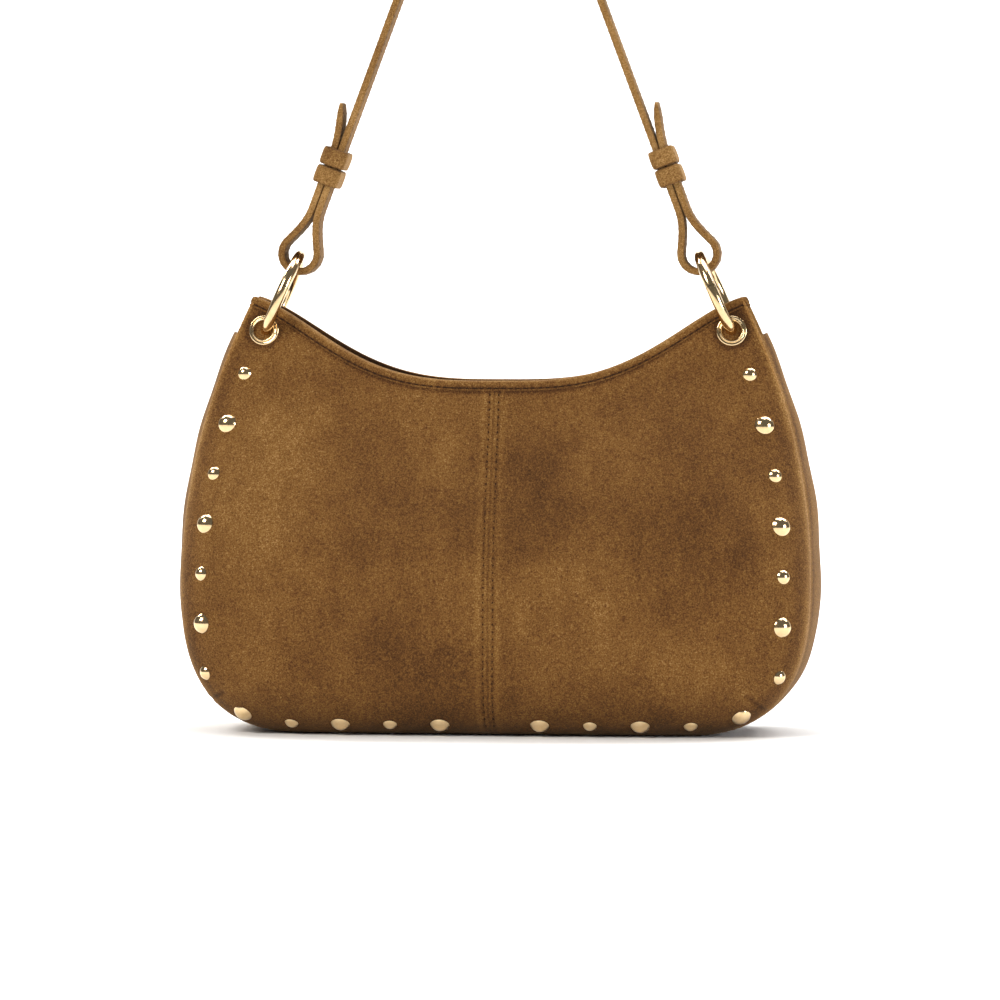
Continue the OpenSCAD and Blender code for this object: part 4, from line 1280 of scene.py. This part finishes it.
@dataclass
class Strap:
    """The strap's one long strip with its tails, its stitched edges, and the four keepers."""

    place: Place
    wear: Wardrobe
    strap_h: float = 388.3
    strap_w: float = 15.0
    strap_t: float = 3.3
    lean: float = math.radians(20.5)
    loop_r: float = 8.15
    loop_close: float = 22.0
    loop_leave: float = math.radians(25)
    tail_l: float = 71.0
    tip_l: float = 9.0
    tip_t: float = 1.5
    tail_open: float = 4.2
    slot_gap: float = 0.1
    ring_r: float = 20.0
    wire_r: float = 2.5
    wire_seat: float = 3.3
    ring_lean: float = math.radians(24)
    ring_centre: tuple[float, float] = (99.537, 197.764)
    keeper_at: float = 42.0
    keeper_l: float = 8.2
    keeper_gap: float = 0.6
    keeper_t: float = 2.3
    keeper_clear: float = 0.35
    pitch: float = 3.4

    @property
    def up(self) -> Array:
        """Direction of the right leg, up from its ring."""
        return np.array([-math.sin(self.lean), math.cos(self.lean)])

    @property
    def out(self) -> Array:
        """Direction square to the right leg, away from the middle."""
        return np.array([math.cos(self.lean), math.sin(self.lean)])

    @property
    def loop_centre(self) -> Array:
        """Middle of the right loop, over the top of its ring."""
        ring_top = (
            np.array(self.ring_centre)
            + self.ring_r * np.array([-math.sin(self.ring_lean), math.cos(self.ring_lean)])
        )
        return ring_top + self.up * (self.loop_r - self.strap_t / 2 - self.wire_r - self.wire_seat)

    def leg(self, p: Array) -> Array:
        """Point given out from the leg's line and up along it."""
        return self.loop_centre + p[..., :1] * self.out + p[..., 1:] * self.up

    def line(self) -> Array:
        """Middle line in x and z, from the right tail's tip to the left one's.

        A tail stands away from its leg by a power of its height over the keepers, then goes straight down
        the leg's outside. A cubic curve opens to the loop's circle, the circle goes round the ring, another
        cubic closes to the main strand, and one arc joins both legs at the top.
        """
        strand = (self.strap_t + self.slot_gap) / 2
        t = np.linspace(0, 1, 40)[:, None]
        foot = self.loop_r * np.array([math.cos(self.loop_leave), math.sin(self.loop_leave)])
        pull = 7 * np.array([-math.sin(self.loop_leave), math.cos(self.loop_leave)])
        a, b = np.array([strand, self.loop_close]), np.array([strand, self.loop_close - 7])
        s = 1 - t
        side = s**3 * a + 3 * s * s * t * b + 3 * s * t * t * (foot + pull) + t**3 * foot
        turn = np.linspace(self.loop_leave, -math.pi - self.loop_leave, 90)[1:-1]
        circle = self.loop_r * np.stack([np.cos(turn), np.sin(turn)], -1)
        offset = self.loop_centre @ self.out - strand
        top = self.strap_h + self.strap_t / 2
        r = (offset - top * math.sin(self.lean)) / (1 - math.sin(self.lean))
        arc = np.linspace(self.lean, math.pi / 2, 80)
        apex = np.stack([r * np.cos(arc), top - r + r * np.sin(arc)], -1)
        free = self.keeper_at + self.keeper_gap / 2 + self.keeper_l + self.keeper_clear
        h = np.linspace(self.tail_l, free, 30)
        tip = np.stack([strand + self.tail_open * ((h - free) / (self.tail_l - free)) ** 1.5, h], -1)
        right = np.concatenate(
            [self.leg(tip), self.leg(side), self.leg(circle), self.leg(side[::-1] * [-1, 1]), apex]
        )
        return spread(np.concatenate([right, right[-2::-1] * [-1, 1]]), 1.1)

    def across(self, line: Array) -> Array:
        """Direction square to the line in its own plane."""
        d = unit(np.gradient(line, axis=0))
        return np.stack([-d[:, 1], d[:, 0]], -1)

    def half_t(self, line: Array) -> Array:
        """Half thickness: full, pared down to the tips by a quarter sine."""
        s = lengths(line)
        end = np.minimum(s, s[-1] - s)
        low = self.tip_t / 2
        return low + (self.strap_t / 2 - low) * np.sin(np.clip(end / self.tip_l, 0, 1) * math.pi / 2)

    def strip(self) -> None:
        """A superelliptic section, nearly square at its edges, carried along the line."""
        line = self.line()
        n, h, s = self.across(line), self.half_t(line), lengths(line)
        a = np.linspace(0, 2 * math.pi, 44, endpoint=False)
        width = self.strap_w / 2 * power_wave(np.cos(a), 0.22)
        rise = power_wave(np.sin(a), 0.42)
        end = np.minimum(s, s[-1] - s)
        narrow = 0.72 + 0.28 * roll(end / 4.0)
        grid = np.zeros((len(line), len(a), 3))
        grid[..., 0] = line[:, :1] + n[:, :1] * h[:, None] * rise
        grid[..., 1] = width * narrow[:, None]
        grid[..., 2] = line[:, 1:] + n[:, 1:] * h[:, None] * rise
        near = self.strap_w / 2 - np.abs(width)
        uv = np.stack(
            [np.broadcast_to(s[:, None], grid.shape[:2]), np.broadcast_to(width, grid.shape[:2])], -1
        )
        # Lighter at the edges: rubbed nap with a painted highlight. Painted shade along the stitch lines in
        # from the edges.
        paint = {
            "wear_and_highlight": np.broadcast_to((0.6 * hump(near / 0.9))[None], grid.shape[:2]),
            "shaded": np.broadcast_to((0.4 * hump((near - 1.9) / 0.8))[None], grid.shape[:2])
        }
        self.place.piece(
            "strap_suede", tube(grid, uv, paint=paint), self.wear.strap, "strap", Slot.LEATHER, ["strap"]
        )
        rows = []
        at_s = np.arange(self.tip_l * 0.4, s[-1] - self.tip_l * 0.4, self.pitch)
        p = np.stack([np.interp(at_s, s, line[:, k]) for k in (0, 1)], -1)
        nn = unit(np.stack([np.interp(at_s, s, n[:, k]) for k in (0, 1)], -1))
        hh = np.interp(at_s, s, h)
        tangent = np.stack([nn[:, 1], np.zeros(len(nn)), -nn[:, 0]], -1)
        for face in (-1, 1):
            for edge in (-1, 1):
                at = np.stack(
                    [
                        p[:, 0] + nn[:, 0] * hh * face * 0.965, np.full(len(p), edge * 5.7),
                        p[:, 1] + nn[:, 1] * hh * face * 0.965
                    ],
                    -1
                )
                out = np.stack([nn[:, 0], np.zeros(len(nn)), nn[:, 1]], -1) * face
                rows.append(stitches(at, tangent, out, 2.3, 0.26, 0.12))
        self.place.piece("strap_stitches", rows_of(rows), self.wear.thread, "strap", Slot.LEATHER)

    def keeper(self, hand: Hand, name: str, at: float) -> None:
        """A padded band round both strands: a superelliptic section carried round a rounded rectangle.

        Args:
            hand: Leg it is on.
            name: Its CAD node, which ends in fixed or sliding.
            at: Height of its middle along the leg.
        """
        half = np.array(
            [(self.strap_t + self.keeper_clear) + self.slot_gap / 2, self.strap_w / 2 + self.keeper_clear]
        )
        corner = 0.6
        core = half - corner
        q = np.concatenate([np.linspace(k * 90, k * 90 + 90, 12) for k in range(4)]) * math.pi / 180
        quarter = np.repeat(np.arange(4), 12)
        sign = np.stack([np.where((quarter == 0) | (quarter == 3), 1, -1), np.where(quarter < 2, 1, -1)], -1)
        foot, way = core * sign, np.stack([np.cos(q), np.sin(q)], -1)
        a = np.linspace(0, 2 * math.pi, 32, endpoint=False)
        thick = self.keeper_t / 2 * (1 + power_wave(np.sin(a), 0.75))
        long = self.keeper_l / 2 * power_wave(np.cos(a), 0.55)
        round_ = foot[:, None, :] + way[:, None, :] * (corner + thick)[None, :, None]
        plane = self.leg(np.stack([round_[..., 0], np.broadcast_to(at + long, round_.shape[:2])], -1))
        grid = np.stack([plane[..., 0] * hand.value, round_[..., 1], plane[..., 1]], -1)
        # Lighter on the outer face: rubbed nap with a painted highlight. Painted shade along its top and
        # bottom edges, where it meets the strap.
        wear_and_highlight = np.broadcast_to((0.35 * hump((np.sin(a) - 1) / 0.5))[None], grid.shape[:2])
        shaded = np.broadcast_to((0.5 * hump((np.abs(np.cos(a)) - 1) / 0.12))[None], grid.shape[:2])
        body = f"keeper_{hand.name.lower()}" if name.endswith("sliding") else "strap"
        shape = tube(grid, closed=True, paint={"wear_and_highlight": wear_and_highlight, "shaded": shaded})
        self.place.piece(f"{name}_suede", shape, self.wear.strap, body, Slot.SUEDE, [name])

    def build(self) -> None:
        """Makes the strap and the keepers."""
        self.strip()
        step = (self.keeper_l + self.keeper_gap) / 2
        for hand in Hand:
            self.keeper(hand, f"keeper_{hand.name.lower()}_fixed", self.keeper_at + step)
            self.keeper(hand, f"keeper_{hand.name.lower()}_sliding", self.keeper_at - step)


@dataclass
class Hardware:
    """Plated metal: new turned eyelets, and the CAD's rings, studs, snap and zip in their plate."""

    place: Place
    form: BagForm
    wear: Wardrobe
    hole_r: float = 4.6
    barrel_r: float = 5.2
    clinch_r: float = 6.1
    flange_r: float = 7.0
    lip_r: float = 4.95
    rolled_r: float = 0.75
    metal_nodes: tuple[str, ...] = (
        "ring_", "stud", "snap_", "eyelet_washers", "pocket_slider", "pocket_puller", "pocket_zip_teeth",
    )

    def eyelet(self, wall: Wall, hand: Hand) -> None:
        """Profile turned round the hole: rolled flange, a raised lip and the barrel clinched inside."""
        f = self.form
        a = np.linspace(0, math.pi / 2, 7)
        rim = np.stack(
            [self.flange_r - self.rolled_r + self.rolled_r * np.cos(a), 0.15 + 0.8 * np.sin(a)], -1
        )
        b = np.linspace(0, math.pi, 9)
        lip = np.stack([self.lip_r + 0.5 * np.cos(b), 0.85 + 0.5 * np.sin(b)], -1)
        lip[-1, 0] = lip[-2, 0] = self.hole_r - 0.02
        depth = f.suede_t + 2 * f.layer_gap + f.facing_t + 0.55
        clinch = np.array(
            [
                [self.hole_r, 0.2], [self.hole_r, -depth - 0.6],
                [self.clinch_r, -depth - 0.6], [self.clinch_r + 0.1, -depth - 0.3], [self.clinch_r, -depth],
                [self.barrel_r, -depth], [self.barrel_r, 0.05], [self.flange_r - 0.1, 0.05],
            ]
        )
        loop = np.concatenate([rim, [[5.65, 0.72]], lip, clinch])
        x, z = (np.array(at) for at in f.eyelet)
        centre = np.array([x, -float(f.half_d(x, z)), z])
        flip = np.array([hand.value, -wall.value, 1.0])
        shape = revolve(loop, centre * flip, f.normal(x, z) * flip, 72)
        node = f"eyelet_{wall.name}_{hand.name}".lower()
        self.place.piece(f"{node}_plate", shape, self.wear.gold, "bag", Slot.GOLD, [node])

    def build(self) -> None:
        """Makes the eyelets and dresses the rest."""
        for wall in Wall:
            for hand in Hand:
                self.eyelet(wall, hand)
        for name in sorted(frame["nodes"]):
            if name.startswith(self.metal_nodes):
                self.polished(name)

    def polished(self, name: str) -> None:
        """Copy of a CAD node, its triangles joined and its rounds shaded smooth, for clean reflections."""
        node = frame["nodes"][name]
        mesh = node.data.copy()
        mesh.name = f"{name}_plate"
        mesh.transform(node.matrix_world)
        for key in [a.name for a in mesh.attributes if a.name == "custom_normal"]:
            mesh.attributes.remove(mesh.attributes[key])
        work = bmesh.new()
        work.from_mesh(mesh)
        bmesh.ops.remove_doubles(work, verts=work.verts, dist=2e-6)
        work.to_mesh(mesh)
        work.free()
        mesh.polygons.foreach_set("use_smooth", np.ones(len(mesh.polygons), bool))
        mesh.set_sharp_from_angle(angle=math.radians(32))
        mesh.materials.clear()
        mesh.materials.append(self.wear.gold)
        obj = bpy.data.objects.new(f"{name}_plate", mesh)
        bpy.context.scene.collection.objects.link(obj)
        bodies = frame["record"]["behaviour"]["bodies"]
        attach(obj, next(body for body, held in bodies.items() if name in held))
        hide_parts(name)
        LOG.info("%s: %d faces", obj.name, len(mesh.polygons))


def dress(nodes: Sequence[str], finish: bpy.types.Material) -> None:
    """Gives CAD nodes a finish through their own material slots.

    Args:
        nodes: CAD node names.
        finish: Material that they get.
    """
    for name in nodes:
        obj = frame["nodes"][name]
        if not obj.material_slots:
            obj.data.materials.append(finish)
        for held in obj.material_slots:
            held.material = finish
        LOG.info("%s: CAD node in %s", name, finish.name)


# ---------------------------------------------------------------- studio and camera


@dataclass(frozen=True)
class Softbox:
    """One square light, aimed at a point."""

    name: str
    at: tuple[float, float, float]
    size: float
    power: float
    colour: str = "#ffffff"

    def build(self, aim: Vector) -> None:
        """Hangs the light."""
        data = bpy.data.lights.new(self.name, "AREA")
        data.shape, data.size, data.energy = "SQUARE", self.size, self.power
        data.color = linear(self.colour)[:3]
        lamp = bpy.data.objects.new(self.name, data)
        lamp.location = Vector(self.at)
        lamp.rotation_euler = (aim - lamp.location).to_track_quat("-Z", "Y").to_euler()
        bpy.context.scene.collection.objects.link(lamp)


@dataclass
class Studio:
    """Pale seamless floor, soft lights and the camera."""

    base: float
    azimuth: float = math.radians(6.4)
    elevation: float = math.radians(2.4)
    distance: float = 2.646
    lens: float = 209.1
    aim: tuple[float, float, float] = (0.0002, 0.0, 0.1046)

    def floor(self) -> None:
        """A wide sheet that bends up behind in a quarter circle, as a paper sweep does."""
        mat, tree, shader = fresh("white_paper_sweep")
        fibre = add(
            tree, "TexNoise",
            {"Vector": add(tree, "TexCoord").outputs["Object"], "Scale": 60.0, "Detail": 3.0}
        )
        tree.links.new(
            ramp(tree, fibre.outputs["Fac"], [(0.0, "#f3f3f2"), (1.0, "#f8f8f7")]),
            shader.inputs["Base Color"]
        )
        sockets(shader, {"Roughness": 0.9, "Specular IOR Level": 0.1})
        x = np.linspace(-6, 6, 13)[:, None]
        flat = np.linspace(-5, 2, 15)
        a = np.linspace(0, math.pi / 2, 13)[1:]
        y = np.concatenate([flat, 2 + 1.5 * np.sin(a), [3.5]])[None, :]
        z = np.concatenate([np.zeros(15), 1.5 - 1.5 * np.cos(a), [5.0]])[None, :] + self.base - 0.0004
        grid = np.stack(np.broadcast_arrays(x, y, z), -1)
        mesh = bpy.data.meshes.new("paper_sweep")
        mesh.from_pydata(grid.reshape(-1, 3).tolist(), [], quads(*grid.shape[:2]).tolist())
        mesh.polygons.foreach_set("use_smooth", np.ones(len(mesh.polygons), bool))
        mesh.materials.append(mat)
        obj = bpy.data.objects.new("paper_sweep", mesh)
        bpy.context.scene.collection.objects.link(obj)

    def light(self) -> None:
        """Grey surround, a key from the upper left, a low fill from the right and two lamps on the sweep."""
        world = bpy.data.worlds.new("studio")
        world.use_nodes = True
        world.node_tree.nodes["Background"].inputs["Color"].default_value = linear("#ffffff")
        world.node_tree.nodes["Background"].inputs["Strength"].default_value = 0.16
        bpy.context.scene.world = world
        aim = Vector((0, 0, self.base + 0.15))
        for box in (
            Softbox("key_left", (-1.6, -1.7, self.base + 1.9), 1.2, 58.0, "#fffaf2"),
            Softbox("fill_right", (1.9, -1.0, self.base + 0.5), 0.8, 21.0, "#fdfcff"),
            Softbox("top", (0.2, 0.4, self.base + 2.3), 1.6, 34.0),
        ):
            box.build(aim)
        for x in (-1.6, 1.6):
            Softbox(
                "sweep_wash", (x, 0.9, self.base + 2.4), 1.4, 95.0
            ).build(Vector((x * 0.3, 3.4, self.base + 0.6)))
        bpy.context.scene.view_settings.view_transform = "Standard"

    def camera(self) -> None:
        """Long lens a little to the right, almost level."""
        data = bpy.data.cameras.new("camera")
        data.lens, data.sensor_width, data.clip_end = self.lens, 36.0, 50.0
        cam = bpy.data.objects.new("camera", data)
        aim = Vector((self.aim[0], self.aim[1], self.base + self.aim[2]))
        a, e = self.azimuth, self.elevation
        back = Vector((math.sin(a) * math.cos(e), -math.cos(a) * math.cos(e), math.sin(e)))
        cam.location = aim + back * self.distance
        cam.rotation_euler = (-back).to_track_quat("-Z", "Y").to_euler()
        bpy.context.scene.collection.objects.link(cam)
        bpy.context.scene.camera = cam

    def build(self) -> None:
        """Sets the studio up."""
        self.floor()
        self.light()
        self.camera()


def main() -> None:
    """Builds the bag's sub-assemblies in order, then the studio."""
    logging.basicConfig(level=logging.INFO, format="%(message)s", stream=sys.stdout)
    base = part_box("gusset")[0][2]
    place, form, wear = Place(base), BagForm(), Wardrobe()
    Shell(place, form, wear).build()
    Inside(place, form, wear).build()
    Strap(place, wear).build()
    Hardware(place, form, wear).build()
    Studio(base).build()


if __name__ == "__main__":
    main()
